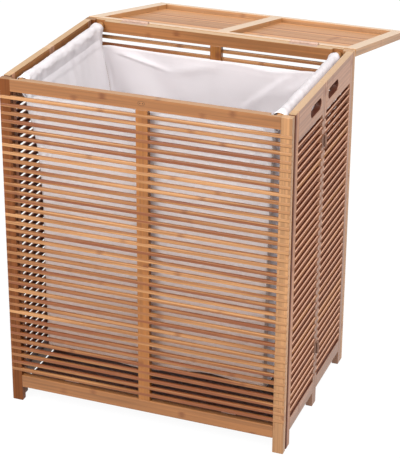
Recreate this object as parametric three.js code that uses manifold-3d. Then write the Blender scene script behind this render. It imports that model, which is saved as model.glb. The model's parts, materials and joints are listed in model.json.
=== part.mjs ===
// Folding bamboo laundry hamper with a hinged two-bay lid and one cloth bag.
// Millimetres, +Z up, +Y to the rear, +X to the right seen from the front.
// The hamper's own frame has y = 0 on its front face and x = 0 on its centre line. The last
// lines shift it so that the origin is on the floor, in the middle of the box round the
// hamper with its lid open. At rest the hamper stands unfolded, its lid laid open behind it.

import * as THREE from 'three';
import { mergeVertices } from 'three/addons/utils/BufferGeometryUtils.js';
import Module from 'manifold-3d';

const wasm = await Module();
wasm.setup();

// Overall sizes
const WIDTH = 500;
const DEPTH = 350;
const HEIGHT = 600;

// Timber of the front and rear panels
const PANEL_THICKNESS = 12;
const STILE_WIDTH = 19;
const CENTRE_STILE_WIDTH = 20.5;
const TOP_RAIL_HEIGHT = 21;
const BOTTOM_RAIL_HEIGHT = 23;
const LEG_HEIGHT = 27.5;
const PANEL_SLATS = 37;
const SLAT_HEIGHT = 6;
const SLAT_DEPTH = 5;
const NOTCH_CLEARANCE = 0.2;

// Timber of the folding side leaves
const LEAF_THICKNESS = 12;
const FRONT_CORNER_STILE_WIDTH = 18;
const REAR_CORNER_STILE_WIDTH = 13;
const SEAM_STILE_WIDTH = 10;
const GRIP_BOARD_HEIGHT = 52;
const LEAF_SLATS = 35;
const FRONT_CORNER_GAP = 5;
const REAR_CORNER_GAP = 0.6;
const SEAM_GAP = 0.6;
const GRIP_LENGTH = 58;
const GRIP_HEIGHT = 19.5;
const GRIP_TO_SEAM = 48;
const GRIP_DROP = 28;

// Pivots of the folding sides: the corner pins lie inside, the seam pins outside
const CORNER_PIN_TO_LEAF = 3.5;
const CORNER_PIN_TO_PANEL = 8.5;
const SEAM_PIN_STANDOFF = 3;

// Small hinges
const HINGE_PLATE = 1.2;
const CORNER_BARREL_RADIUS = 3;
const CORNER_HINGE_HEIGHT = 30;
const CORNER_PLATE_WIDTH = 6;
const CORNER_WEB = 3;
const SEAM_BARREL_RADIUS = 2.6;
const SEAM_HINGE_HEIGHT = 20;
const SEAM_PLATE_REACH = 10;
const LOWER_HINGE_Z = 112.5;
const UPPER_HINGE_DROP = 101;
const BARREL_SIDES = 12;
const PIN_RADIUS = 1.1;
const PIN_CLEARANCE = 0.3;
const KNUCKLE_GAP = 0.3;

// Lid
const LID_OPEN_ANGLE = 192;
const LID_THICKNESS = 14;
const LID_SIDE_RAIL = 20;
const LID_END_RAIL = 20;
const LID_CENTRE_RAIL = 22;
const LID_BOARD_THICKNESS = 5;
const LID_BOARDS = 6;
const LID_BOARD_GROOVE = 1;
const LID_BOARD_GROOVE_DEPTH = 1.2;
const LID_OVERHANG = 3;
const LID_PIN_OFFSET = 3.5;
const LID_REST_GAP = 0.4;
const LID_EDGE_GAP = 0.3;
const LID_BARREL_RADIUS = 2.8;
const LID_HINGE_LENGTH = 50;
const LID_HINGE_INSET = 92;
const LID_LEAF_REACH = 10;
const JOINT_GAP = 0.3;

// Base board, hinged to the front bottom rail and carried by a ledge at the rear
const BASE_THICKNESS = 8;
const BASE_TOP_Z = 43;
const BASE_TO_LEAF = 11;
const BASE_SHOULDER_DEPTH = 6;
const BASE_REAR_GAP = 2;
const BASE_PIN_STANDOFF = 3;
const BASE_PIN_LIFT = 0.6;
const BASE_BARREL_RADIUS = 2.4;
const BASE_EDGE_TO_PIN = 3.2;
const BASE_HINGE_LENGTH = 25;
const BASE_HINGE_INSET = 105;
const BASE_LEAF_REACH = 16;
const BASE_SIDE_CLEARANCE = 2;
const LEDGE_DEPTH = 10;
const LEDGE_HEIGHT = 7.2;
const LEDGE_SETBACK = 4;
const REST_GAP = 0.3;

// Rods that carry the bag, in pockets of the top rails beside the stiles
const ROD_DIAMETER = 14.5;
const ROD_SIDES = 16;
const POCKET_WIDTH = 19;
const POCKET_DEPTH = 7;
const POCKET_FLOOR = 1.5;
const POCKET_ARC_STEPS = 8;
const ROD_END_GAP = 0.5;

// Cloth bag
const CLOTH = 1.6;
const SLEEVE_GAP = 0.4;
const SLEEVE_END_INSET = 24;
const BAG_BOTTOM_INSET = 58;
const BAG_FRONT_INSET = 20;
const BAG_TAPER_DEPTH = 6;
const BAG_CORNER_RADIUS = 26;
const BAG_FLOOR_Z = 99;
const BAG_FLOOR_SAG = 6;
const BAG_RIM_DROP = 42;
const BAG_RIM_SAG = 8;
const BAG_COLUMNS_PER_SIDE = 12;
const BAG_ROWS = 8;

// Cuts run this far past a face
const OVERRUN = 2;

// Finishes
const woodLight = finish(0xbd8a5e);
const woodRail = finish(0xb88258);
const woodStile = finish(0xb07a4a);
const woodLeaf = finish(0xc49a7c);
const woodLid = finish(0xcf9c6c);
const woodBase = finish(0x7a4a2c);
const hingeMetal = new THREE.MeshStandardMaterial({ color: 0xb9b6ae, roughness: 0.35, metalness: 0.9 });
const cloth = new THREE.MeshStandardMaterial({ color: 0xeae4e0, roughness: 0.95, metalness: 0 });

// Places worked out from the sizes above
const halfWidth = WIDTH / 2;
const stileEdge = halfWidth - STILE_WIDTH;
const railBottom = LEG_HEIGHT;
const railTop = LEG_HEIGHT + BOTTOM_RAIL_HEIGHT;
const topRailBottom = HEIGHT - TOP_RAIL_HEIGHT;
const gripBoardBottom = HEIGHT - GRIP_BOARD_HEIGHT;
const frontInner = PANEL_THICKNESS;
const rearInner = DEPTH - PANEL_THICKNESS;
const leafInner = halfWidth - LEAF_THICKNESS;
const seamY = DEPTH / 2;
const cornerPinX = leafInner - CORNER_PIN_TO_LEAF;
const frontCornerPinY = frontInner + CORNER_PIN_TO_PANEL;
const rearCornerPinY = rearInner - CORNER_PIN_TO_PANEL;
const seamPinX = halfWidth + SEAM_PIN_STANDOFF;
const upperHingeZ = HEIGHT - UPPER_HINGE_DROP;
const lidPinY = DEPTH + LID_PIN_OFFSET;
const lidPinZ = HEIGHT + LID_REST_GAP;
const lidDepth = lidPinY - LID_EDGE_GAP + LID_OVERHANG;
const lidHingeX = halfWidth - LID_HINGE_INSET;
const basePinY = frontInner + BASE_PIN_STANDOFF;
const basePinZ = BASE_TOP_Z + BASE_PIN_LIFT;
const baseHingeX = halfWidth - BASE_HINGE_INSET;
const baseHalfWidth = leafInner - BASE_TO_LEAF;
const rodX = stileEdge - POCKET_WIDTH / 2;
const rodRadius = ROD_DIAMETER / 2;
const pocketFloorZ = topRailBottom + POCKET_FLOOR;
const rodZ = pocketFloorZ + REST_GAP + rodRadius;

const hamper = new THREE.Group();

function finish(color) {
  return new THREE.MeshStandardMaterial({ color, roughness: 0.55, metalness: 0 });
}

// Solids from three.js geometry, and back

function solid(geometry) {
  const bare = geometry.clone();
  bare.deleteAttribute('normal');
  bare.deleteAttribute('uv');
  const merged = mergeVertices(bare);
  return new wasm.Manifold(new wasm.Mesh({
    numProp: 3,
    vertProperties: new Float32Array(merged.attributes.position.array),
    triVerts: new Uint32Array(merged.index.array),
  }));
}

function geometryOf(body) {
  const mesh = body.getMesh();
  const geometry = new THREE.BufferGeometry();
  geometry.setAttribute('position', new THREE.Float32BufferAttribute(mesh.vertProperties, 3));
  geometry.setIndex(Array.from(mesh.triVerts));
  geometry.computeVertexNormals();
  return geometry;
}

function place(name, body, material, parent = hamper) {
  const mesh = new THREE.Mesh(geometryOf(body), material);
  mesh.name = name;
  parent.add(mesh);
  return mesh;
}

// A block between two corners
function block(x0, x1, y0, y1, z0, z1) {
  const geometry = new THREE.BoxGeometry(Math.abs(x1 - x0), y1 - y0, z1 - z0);
  geometry.translate((x0 + x1) / 2, (y0 + y1) / 2, (z0 + z1) / 2);
  return solid(geometry);
}

function joined(bodies) {
  return bodies.reduce((whole, body) => whole.add(body));
}

function cut(body, cutters) {
  return cutters.reduce((rest, cutter) => rest.subtract(cutter), body);
}

// An upright cylinder, for hinge barrels on the corners and seams
function uprightBarrel(x, y, z, radius, height) {
  const geometry = new THREE.CylinderGeometry(radius, radius, height, BARREL_SIDES);
  geometry.rotateX(Math.PI / 2);
  geometry.translate(x, y, z);
  return solid(geometry);
}

// A cylinder across the hamper, for the barrels and pins of the lid and the base
function crossBarrel(x, y, z, radius, length, sides = BARREL_SIDES) {
  const geometry = new THREE.CylinderGeometry(radius, radius, length, sides);
  geometry.rotateZ(Math.PI / 2);
  geometry.translate(x, y, z);
  return solid(geometry);
}

// A cylinder from front to rear, for the rods and their sleeves
function rodAlong(x, y0, y1, z, radius) {
  const geometry = new THREE.CylinderGeometry(radius, radius, y1 - y0, ROD_SIDES);
  geometry.translate(x, (y0 + y1) / 2, z);
  return solid(geometry);
}

// Slats fill the space between two rails with even gaps
function slatBottoms(count, low, high) {
  const gap = (high - low - count * SLAT_HEIGHT) / (count + 1);
  const bottoms = [];
  for (let i = 0; i < count; i += 1) {
    bottoms.push(low + gap + i * (SLAT_HEIGHT + gap));
  }
  return bottoms;
}

// Front and rear panels: two stiles that reach the floor, two rails between them, and a
// centre stile that carries the slats, which are let into the outer faces of all stiles

const panelSlats = slatBottoms(PANEL_SLATS, railTop, topRailBottom);

function rodPocket(side, innerFace, inward) {
  const radius = POCKET_WIDTH / 2;
  const outline = new THREE.Shape();
  const arcCentreZ = pocketFloorZ + radius;
  outline.moveTo(radius, HEIGHT + OVERRUN);
  outline.lineTo(-radius, HEIGHT + OVERRUN);
  outline.lineTo(-radius, arcCentreZ);
  outline.absarc(0, arcCentreZ, radius, Math.PI, 2 * Math.PI, false);
  outline.closePath();
  const depth = POCKET_DEPTH + OVERRUN;
  const geometry = new THREE.ExtrudeGeometry(outline, {
    depth, bevelEnabled: false, curveSegments: POCKET_ARC_STEPS,
  });
  geometry.rotateX(Math.PI / 2);
  const deepest = inward > 0 ? innerFace - POCKET_DEPTH : innerFace + POCKET_DEPTH;
  geometry.translate(side * rodX, inward > 0 ? deepest + depth : deepest, 0);
  return solid(geometry);
}

function slattedPanel(name, outerFace, inward) {
  const innerFace = outerFace + inward * PANEL_THICKNESS;
  const yLow = Math.min(outerFace, innerFace);
  const yHigh = Math.max(outerFace, innerFace);
  const slatInner = outerFace + inward * SLAT_DEPTH;
  const slatLow = Math.min(outerFace, slatInner);
  const slatHigh = Math.max(outerFace, slatInner);
  const notchInner = outerFace + inward * (SLAT_DEPTH + NOTCH_CLEARANCE);
  const notchOuter = outerFace - inward * OVERRUN;
  const notchLow = Math.min(notchOuter, notchInner);
  const notchHigh = Math.max(notchOuter, notchInner);

  for (const side of [-1, 1]) {
    const outer = side * halfWidth;
    const inner = side * stileEdge;
    const notches = panelSlats.map((z) => block(
      side * (stileEdge - OVERRUN), side * (halfWidth + OVERRUN), notchLow, notchHigh,
      z - NOTCH_CLEARANCE, z + SLAT_HEIGHT + NOTCH_CLEARANCE,
    ));
    const stile = cut(block(inner, outer, yLow, yHigh, 0, HEIGHT), notches);
    place(`${name}_${side < 0 ? 'left' : 'right'}_stile`, stile, woodStile);
  }

  const slats = panelSlats.map((z) => block(
    -halfWidth, halfWidth, slatLow, slatHigh, z, z + SLAT_HEIGHT,
  ));
  const centre = block(
    -CENTRE_STILE_WIDTH / 2, CENTRE_STILE_WIDTH / 2, yLow, yHigh, railTop, topRailBottom,
  );
  place(`${name}_centre_stile_and_slats`, joined([centre, ...slats]), woodLight);
  const bottomRail = block(-stileEdge, stileEdge, yLow, yHigh, railBottom, railTop);
  place(`${name}_bottom_rail`, bottomRail, woodRail);

  const topRail = block(-stileEdge, stileEdge, yLow, yHigh, topRailBottom, HEIGHT);
  return cut(topRail, [-1, 1].map((side) => rodPocket(side, innerFace, inward)));
}

// The rear top rail is also let in for the fixed leaves of the lid's hinges
function lidLeafRecess(side) {
  const half = LID_HINGE_LENGTH / 2 + JOINT_GAP;
  const centre = side * lidHingeX;
  return block(
    centre - half, centre + half, DEPTH - LID_LEAF_REACH - JOINT_GAP, DEPTH + OVERRUN,
    HEIGHT - HINGE_PLATE - 2 * REST_GAP, HEIGHT + OVERRUN,
  );
}

place('front_top_rail', slattedPanel('front', 0, 1), woodRail);
const rearTopRail = cut(slattedPanel('rear', DEPTH, -1), [-1, 1].map(lidLeafRecess));
place('rear_top_rail', rearTopRail, woodRail);

// Side leaves: each has a corner stile, a seam stile that carries its slats, a board with
// a grip slot at the top and a rail at the bottom

function gripSlot(side, centreY) {
  const radius = GRIP_HEIGHT / 2;
  const straight = GRIP_LENGTH / 2 - radius;
  const z = HEIGHT - GRIP_DROP;
  const outline = new THREE.Shape();
  outline.absarc(straight, 0, radius, -Math.PI / 2, Math.PI / 2, false);
  outline.absarc(-straight, 0, radius, Math.PI / 2, 3 * Math.PI / 2, false);
  outline.closePath();
  const depth = LEAF_THICKNESS + 2 * OVERRUN;
  const geometry = new THREE.ExtrudeGeometry(outline, {
    depth, bevelEnabled: false, curveSegments: POCKET_ARC_STEPS,
  });
  geometry.translate(0, 0, -depth / 2);
  geometry.rotateX(Math.PI / 2);
  geometry.rotateZ(Math.PI / 2);
  geometry.translate(side * (leafInner + LEAF_THICKNESS / 2), centreY, z);
  return solid(geometry);
}

const leafSlats = slatBottoms(LEAF_SLATS, railTop, gripBoardBottom);

function sideLeaf(name, side, end) {
  const sign = end === 'front' ? -1 : 1;
  const cornerWidth = end === 'front' ? FRONT_CORNER_STILE_WIDTH : REAR_CORNER_STILE_WIDTH;
  const cornerOuter = end === 'front' ? frontInner + FRONT_CORNER_GAP : rearInner - REAR_CORNER_GAP;
  const cornerInner = cornerOuter - sign * cornerWidth;
  const seamEdge = seamY + sign * SEAM_GAP / 2;
  const seamInner = seamEdge + sign * SEAM_STILE_WIDTH;
  const x0 = side * leafInner;
  const x1 = side * halfWidth;
  const slatX = side * (halfWidth - SLAT_DEPTH);
  const piece = (ya, yb, z0, z1, xa = x0) => block(xa, x1, Math.min(ya, yb), Math.max(ya, yb), z0, z1);

  place(`${name}_corner_stile`, piece(cornerOuter, cornerInner, 0, HEIGHT), woodLeaf);
  const slats = leafSlats.map((z) => piece(seamInner, cornerInner, z, z + SLAT_HEIGHT, slatX));
  const seamStile = piece(seamEdge, seamInner, 0, HEIGHT);
  place(`${name}_seam_stile_and_slats`, joined([seamStile, ...slats]), woodLeaf);
  place(`${name}_bottom_rail`, piece(seamInner, cornerInner, railBottom, railTop), woodLeaf);
  const board = piece(seamInner, cornerInner, gripBoardBottom, HEIGHT);
  const slot = gripSlot(side, seamY + sign * GRIP_TO_SEAM);
  place(`${name}_grip_board`, board.subtract(slot), woodLeaf);
}

for (const side of [-1, 1]) {
  for (const end of ['front', 'rear']) {
    sideLeaf(`${side < 0 ? 'left' : 'right'}_${end}_leaf`, side, end);
  }
}

// Corner hinges: a narrow plate on the panel's stile, a web and the barrel at the pivot

function cornerHinge(side, end, z) {
  const inward = end === 'front' ? 1 : -1;
  const face = end === 'front' ? frontInner : rearInner;
  const pinY = end === 'front' ? frontCornerPinY : rearCornerPinY;
  const pinX = side * cornerPinX;
  const plateEdge = face + inward * HINGE_PLATE;
  const z0 = z - CORNER_HINGE_HEIGHT / 2;
  const z1 = z + CORNER_HINGE_HEIGHT / 2;
  const slab = (half, ya, yb) => block(pinX - half, pinX + half, Math.min(ya, yb), Math.max(ya, yb), z0, z1);
  return joined([
    slab(CORNER_PLATE_WIDTH / 2, face, plateEdge),
    slab(CORNER_WEB / 2, face, pinY),
    uprightBarrel(pinX, pinY, z, CORNER_BARREL_RADIUS, CORNER_HINGE_HEIGHT),
  ]);
}

// Seam hinges: a plate on the rear leaf's outer face, its barrel over the seam

function seamHinge(side, z) {
  const pinX = side * seamPinX;
  const height = SEAM_HINGE_HEIGHT;
  const plate = block(
    side * halfWidth, side * (halfWidth + HINGE_PLATE),
    seamY + SEAM_GAP / 2, seamY + SEAM_PLATE_REACH, z - height / 2, z + height / 2,
  );
  return plate.add(uprightBarrel(pinX, seamY, z, SEAM_BARREL_RADIUS, height));
}

for (const side of [-1, 1]) {
  const hand = side < 0 ? 'left' : 'right';
  for (const [level, z] of [['lower', LOWER_HINGE_Z], ['upper', upperHingeZ]]) {
    for (const end of ['front', 'rear']) {
      place(`${end}_${hand}_${level}_corner_hinge`, cornerHinge(side, end, z), hingeMetal);
    }
    place(`${hand}_${level}_seam_hinge`, seamHinge(side, z), hingeMetal);
  }
}

// Butt hinges of the lid and the base. The fixed leaf has the two end knuckles, bored for
// the pin; the moving leaf has the middle knuckle and the pin.

function endKnuckles(x, y, z, radius, length) {
  const third = length / 3;
  const bore = crossBarrel(x, y, z, PIN_RADIUS + PIN_CLEARANCE, length + 2 * OVERRUN);
  const knuckles = [-1, 1].map((side) => crossBarrel(
    x + side * (third + KNUCKLE_GAP / 2), y, z, radius, third - KNUCKLE_GAP,
  ));
  return { knuckles, bore };
}

function middleKnuckle(x, y, z, radius, length) {
  const knuckle = crossBarrel(x, y, z, radius, length / 3 - KNUCKLE_GAP);
  return knuckle.add(crossBarrel(x, y, z, PIN_RADIUS, length));
}

function lidFixedLeaf(side) {
  const x = side * lidHingeX;
  const half = LID_HINGE_LENGTH / 2;
  const top = HEIGHT - REST_GAP;
  const { knuckles, bore } = endKnuckles(x, lidPinY, lidPinZ, LID_BARREL_RADIUS, LID_HINGE_LENGTH);
  const plate = block(x - half, x + half, DEPTH - LID_LEAF_REACH, DEPTH, top - HINGE_PLATE, top);
  const tongues = [-1, 1].map((end) => {
    const centre = x + end * (LID_HINGE_LENGTH / 3 + KNUCKLE_GAP / 2);
    const width = LID_HINGE_LENGTH / 3 - KNUCKLE_GAP;
    return block(centre - width / 2, centre + width / 2, DEPTH, lidPinY, top - HINGE_PLATE, top);
  });
  return cut(joined([plate, ...tongues, ...knuckles]), [bore]);
}

// Lid: built closed round its pin, then turned open. Local y runs to the front as minus,
// local z = 0 is the underside that lies on the rims.

const lid = new THREE.Group();
lid.position.set(0, lidPinY, lidPinZ);
lid.rotation.x = -THREE.MathUtils.degToRad(LID_OPEN_ANGLE);
hamper.add(lid);

const lidNear = -LID_EDGE_GAP;
const lidFar = -lidDepth;
const lidSideEdge = halfWidth - LID_SIDE_RAIL;
const lidBayInner = LID_CENTRE_RAIL / 2;

for (const side of [-1, 1]) {
  const rail = block(side * lidSideEdge, side * halfWidth, lidFar, lidNear, 0, LID_THICKNESS);
  place(`lid_${side < 0 ? 'left' : 'right'}_side_rail`, rail, woodLid, lid);
}

function lidLeafCuts(side) {
  const x = side * lidHingeX;
  const half = LID_HINGE_LENGTH / 2 + JOINT_GAP;
  const recess = block(
    x - half, x + half, lidNear - LID_LEAF_REACH - JOINT_GAP, OVERRUN,
    -OVERRUN, HINGE_PLATE + 2 * REST_GAP,
  );
  const barrel = crossBarrel(x, 0, 0, LID_BARREL_RADIUS + REST_GAP, LID_HINGE_LENGTH + 2 * JOINT_GAP);
  return [recess, barrel];
}

const endRailHalf = lidSideEdge - JOINT_GAP;
const hingeRail = block(-endRailHalf, endRailHalf, lidNear - LID_END_RAIL, lidNear, 0, LID_THICKNESS);
place('lid_hinge_rail', cut(hingeRail, [-1, 1].flatMap(lidLeafCuts)), woodLid, lid);
const frontRail = block(-endRailHalf, endRailHalf, lidFar, lidFar + LID_END_RAIL, 0, LID_THICKNESS);
place('lid_front_rail', frontRail, woodLid, lid);

const bayNear = lidNear - LID_END_RAIL - JOINT_GAP;
const bayFar = lidFar + LID_END_RAIL + JOINT_GAP;
const centreRail = block(-lidBayInner, lidBayInner, bayFar, bayNear, 0, LID_THICKNESS);
place('lid_centre_rail', centreRail, woodLid, lid);

function bayBoards(side) {
  const inner = side * (lidBayInner + JOINT_GAP);
  const outer = side * (lidSideEdge - JOINT_GAP);
  const floor = LID_THICKNESS - LID_BOARD_THICKNESS;
  const boardPitch = (bayNear - bayFar) / LID_BOARDS;
  const grooves = [];
  for (let i = 1; i < LID_BOARDS; i += 1) {
    const y = bayFar + i * boardPitch;
    const y0 = y - LID_BOARD_GROOVE / 2;
    const y1 = y + LID_BOARD_GROOVE / 2;
    const x0 = inner - side * OVERRUN;
    const x1 = outer + side * OVERRUN;
    grooves.push(block(x0, x1, y0, y1, floor - OVERRUN, floor + LID_BOARD_GROOVE_DEPTH));
    grooves.push(block(x0, x1, y0, y1, LID_THICKNESS - LID_BOARD_GROOVE_DEPTH, LID_THICKNESS + OVERRUN));
  }
  return cut(block(inner, outer, bayFar, bayNear, floor, LID_THICKNESS), grooves);
}

function lidMovingLeaf(side) {
  const x = side * lidHingeX;
  const half = LID_HINGE_LENGTH / 2;
  const tongue = LID_HINGE_LENGTH / 6 - KNUCKLE_GAP;
  const plate = block(
    x - half, x + half, lidNear - LID_LEAF_REACH, -LID_BARREL_RADIUS - PIN_CLEARANCE,
    REST_GAP, REST_GAP + HINGE_PLATE,
  );
  const neck = block(
    x - tongue, x + tongue, -LID_BARREL_RADIUS - 2 * PIN_CLEARANCE, 0, REST_GAP, REST_GAP + HINGE_PLATE,
  );
  return joined([plate, neck, middleKnuckle(x, 0, 0, LID_BARREL_RADIUS, LID_HINGE_LENGTH)]);
}

for (const side of [-1, 1]) {
  const hand = side < 0 ? 'left' : 'right';
  place(`lid_${hand}_boards`, bayBoards(side), woodLid, lid);
  place(`lid_${hand}_hinge_fixed_leaf`, lidFixedLeaf(side), hingeMetal);
  place(`lid_${hand}_hinge_moving_leaf`, lidMovingLeaf(side), hingeMetal, lid);
}

// Base board. It is narrower behind its shoulders, so that the side leaves, which fold in as
// it tips up, pass beside it and close over its tail.

function baseOutline() {
  const legLength = seamY - frontCornerPinY;
  const tail = cornerPinX - legLength - BASE_SIDE_CLEARANCE;
  const foldDepth = LEAF_THICKNESS + SEAM_PIN_STANDOFF + BASE_SIDE_CLEARANCE;
  const frontY = basePinY + BASE_EDGE_TO_PIN;
  const shoulderY = basePinY + BASE_SHOULDER_DEPTH;
  const tailY = seamY + foldDepth;
  const rearY = rearInner - BASE_REAR_GAP;
  const outline = new THREE.Shape();
  outline.moveTo(-baseHalfWidth, frontY);
  outline.lineTo(baseHalfWidth, frontY);
  outline.lineTo(baseHalfWidth, shoulderY);
  outline.lineTo(tail, tailY);
  outline.lineTo(tail, rearY);
  outline.lineTo(-tail, rearY);
  outline.lineTo(-tail, tailY);
  outline.lineTo(-baseHalfWidth, shoulderY);
  outline.closePath();
  return outline;
}

const baseGeometry = new THREE.ExtrudeGeometry(baseOutline(), { depth: BASE_THICKNESS, bevelEnabled: false });
baseGeometry.translate(0, 0, BASE_TOP_Z - BASE_THICKNESS);
place('base_board', solid(baseGeometry), woodBase);

const ledgeTop = BASE_TOP_Z - BASE_THICKNESS - REST_GAP;
const ledgeHalfWidth = baseHalfWidth - LEDGE_SETBACK;
place('base_ledge', block(
  -ledgeHalfWidth, ledgeHalfWidth, rearInner - LEDGE_DEPTH, rearInner, ledgeTop - LEDGE_HEIGHT, ledgeTop,
), woodBase);

function baseFixedLeaf(side) {
  const x = side * baseHingeX;
  const half = BASE_HINGE_LENGTH / 2;
  const width = BASE_HINGE_LENGTH / 3 - KNUCKLE_GAP;
  const { knuckles, bore } = endKnuckles(x, basePinY, basePinZ, BASE_BARREL_RADIUS, BASE_HINGE_LENGTH);
  const plateTop = basePinZ - BASE_BARREL_RADIUS - PIN_CLEARANCE;
  const webTop = basePinZ - BASE_BARREL_RADIUS / 2;
  const plate = block(x - half, x + half, frontInner, frontInner + HINGE_PLATE, railBottom, plateTop);
  const webs = [-1, 1].map((end) => {
    const centre = x + end * (BASE_HINGE_LENGTH / 3 + KNUCKLE_GAP / 2);
    return block(
      centre - width / 2, centre + width / 2, frontInner, basePinY, plateTop - HINGE_PLATE, webTop,
    );
  });
  return cut(joined([plate, ...webs, ...knuckles]), [bore]);
}

function baseMovingLeaf(side) {
  const x = side * baseHingeX;
  const half = BASE_HINGE_LENGTH / 2;
  const tongue = BASE_HINGE_LENGTH / 6 - KNUCKLE_GAP;
  const plateFront = basePinY + BASE_EDGE_TO_PIN;
  const plate = block(x - half, x + half, plateFront, plateFront + BASE_LEAF_REACH, BASE_TOP_Z, BASE_TOP_Z + HINGE_PLATE);
  const neck = block(x - tongue, x + tongue, basePinY, plateFront, BASE_TOP_Z, BASE_TOP_Z + HINGE_PLATE);
  const knuckle = middleKnuckle(x, basePinY, basePinZ, BASE_BARREL_RADIUS, BASE_HINGE_LENGTH);
  return joined([plate, neck, knuckle]);
}

for (const side of [-1, 1]) {
  const hand = side < 0 ? 'left' : 'right';
  place(`base_${hand}_hinge_fixed_leaf`, baseFixedLeaf(side), hingeMetal);
  place(`base_${hand}_hinge_moving_leaf`, baseMovingLeaf(side), hingeMetal);
}

// Rods

const rodFront = frontInner - POCKET_DEPTH + ROD_END_GAP;
const rodRear = rearInner + POCKET_DEPTH - ROD_END_GAP;

for (const side of [-1, 1]) {
  place(`${side < 0 ? 'left' : 'right'}_rod`, rodAlong(side * rodX, rodFront, rodRear, rodZ, rodRadius), woodLight);
}

// Bag: a rounded box that narrows downwards, its side walls hung from sleeves on the rods
// and its front and rear edges sagging between them

// A point on a rounded rectangle, from the share of the way round
function roundedRectangle(halfX, halfY, radius, stepsPerSide) {
  const points = [];
  const corners = [[1, 1, 0], [-1, 1, 1], [-1, -1, 2], [1, -1, 3]];
  const cornerSteps = Math.round(stepsPerSide / 3);
  for (const [sx, sy, quarter] of corners) {
    for (let i = 0; i < cornerSteps; i += 1) {
      const angle = (quarter + (i + 1 / 2) / cornerSteps) * Math.PI / 2;
      points.push([
        sx * (halfX - radius) + radius * Math.cos(angle),
        sy * (halfY - radius) + radius * Math.sin(angle),
      ]);
    }
    const nextX = quarter % 2 === 0 ? -sx : sx;
    const nextY = quarter % 2 === 0 ? sy : -sy;
    const straight = stepsPerSide - cornerSteps;
    for (let i = 1; i < straight; i += 1) {
      const t = i / straight;
      const x0 = sx * (halfX - radius) + (quarter % 2 === 0 ? 0 : sx * radius);
      const y0 = sy * (halfY - radius) + (quarter % 2 === 0 ? sy * radius : 0);
      const x1 = nextX * (halfX - radius) + (quarter % 2 === 0 ? 0 : nextX * radius);
      const y1 = nextY * (halfY - radius) + (quarter % 2 === 0 ? nextY * radius : 0);
      points.push([x0 + (x1 - x0) * t, y0 + (y1 - y0) * t]);
    }
  }
  return points;
}

const bagCentreY = DEPTH / 2;
const bagTopHalfX = rodX - rodRadius - SLEEVE_GAP;
const bagBottomHalfX = halfWidth - BAG_BOTTOM_INSET;
const bagTopHalfY = DEPTH / 2 - BAG_FRONT_INSET;
const bagBottomHalfY = bagTopHalfY - BAG_TAPER_DEPTH;
const sleeveRadius = rodRadius + SLEEVE_GAP + CLOTH;
const sideRimZ = rodZ;

// The rim is high where the side walls meet the sleeves, and low across front and rear
function rimHeight(x) {
  const share = Math.min(Math.abs(x) / bagTopHalfX, 1);
  const across = share ** 8;
  const sag = BAG_RIM_SAG * (1 - share * share);
  return (sideRimZ - BAG_RIM_DROP) * (1 - across) + sideRimZ * across - sag * (1 - across);
}

function bagSurface(inset) {
  const rows = [];
  const floor = BAG_FLOOR_Z + inset;
  for (let r = 0; r <= BAG_ROWS; r += 1) {
    const down = r / BAG_ROWS;
    const halfX = bagTopHalfX + (bagBottomHalfX - bagTopHalfX) * Math.sqrt(down) - inset;
    const halfY = bagTopHalfY + (bagBottomHalfY - bagTopHalfY) * down - inset;
    const ring = roundedRectangle(halfX, halfY, BAG_CORNER_RADIUS - inset, BAG_COLUMNS_PER_SIDE);
    rows.push(ring.map(([x, y]) => {
      const top = rimHeight(x);
      return [x, bagCentreY + y, top + (floor - top) * down];
    }));
  }
  return { rows, bottom: [0, bagCentreY, floor - BAG_FLOOR_SAG] };
}

function bagShell() {
  const outer = bagSurface(0);
  const inner = bagSurface(CLOTH);
  const positions = [];
  const index = [];
  const columns = outer.rows[0].length;
  const addSurface = ({ rows, bottom }) => {
    const start = positions.length / 3;
    rows.flat().forEach((point) => positions.push(...point));
    positions.push(...bottom);
    return start;
  };
  const skin = (start, flip) => {
    const tri = (a, b, c) => index.push(...(flip ? [a, c, b] : [a, b, c]));
    for (let r = 0; r < BAG_ROWS; r += 1) {
      for (let c = 0; c < columns; c += 1) {
        const a = start + r * columns + c;
        const b = start + r * columns + (c + 1) % columns;
        tri(a, a + columns, b);
        tri(b, a + columns, b + columns);
      }
    }
    const last = start + BAG_ROWS * columns;
    for (let c = 0; c < columns; c += 1) {
      tri(last + c, last + columns, last + (c + 1) % columns);
    }
  };
  const outerStart = addSurface(outer);
  const innerStart = addSurface(inner);
  skin(outerStart, false);
  skin(innerStart, true);
  for (let c = 0; c < columns; c += 1) {
    const next = (c + 1) % columns;
    index.push(outerStart + c, outerStart + next, innerStart + c);
    index.push(outerStart + next, innerStart + next, innerStart + c);
  }
  const geometry = new THREE.BufferGeometry();
  geometry.setAttribute('position', new THREE.Float32BufferAttribute(positions, 3));
  geometry.setIndex(index);
  return solid(geometry);
}

function sleeve(side) {
  const x = side * rodX;
  const y0 = SLEEVE_END_INSET;
  const y1 = DEPTH - SLEEVE_END_INSET;
  return rodAlong(x, y0, y1, rodZ, sleeveRadius);
}

function rodSpace(side) {
  return rodAlong(side * rodX, -OVERRUN, DEPTH + OVERRUN, rodZ, rodRadius + SLEEVE_GAP);
}

const bag = cut(joined([bagShell(), sleeve(-1), sleeve(1)]), [rodSpace(-1), rodSpace(1)]);
place('bag', bag, cloth);

// The box round the hamper and its open lid decides the origin
const lidFarY = lidPinY - lidDepth * Math.cos(THREE.MathUtils.degToRad(LID_OPEN_ANGLE));
hamper.position.y = -lidFarY / 2;

const model = new THREE.Group();
model.add(hamper);

export default model;
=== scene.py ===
"""The looks of a folding slatted bamboo laundry hamper with a cloth bag.

Laid out as a Blender add-on: each group of pieces has its operator, and a panel in the 3D
view's sidebar lists them. Metres, +Z up, +Y to the rear. Run as a script, it makes them all.
"""

import json
import math

import bmesh
import bpy
from mathutils import Matrix, Vector, noise


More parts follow.
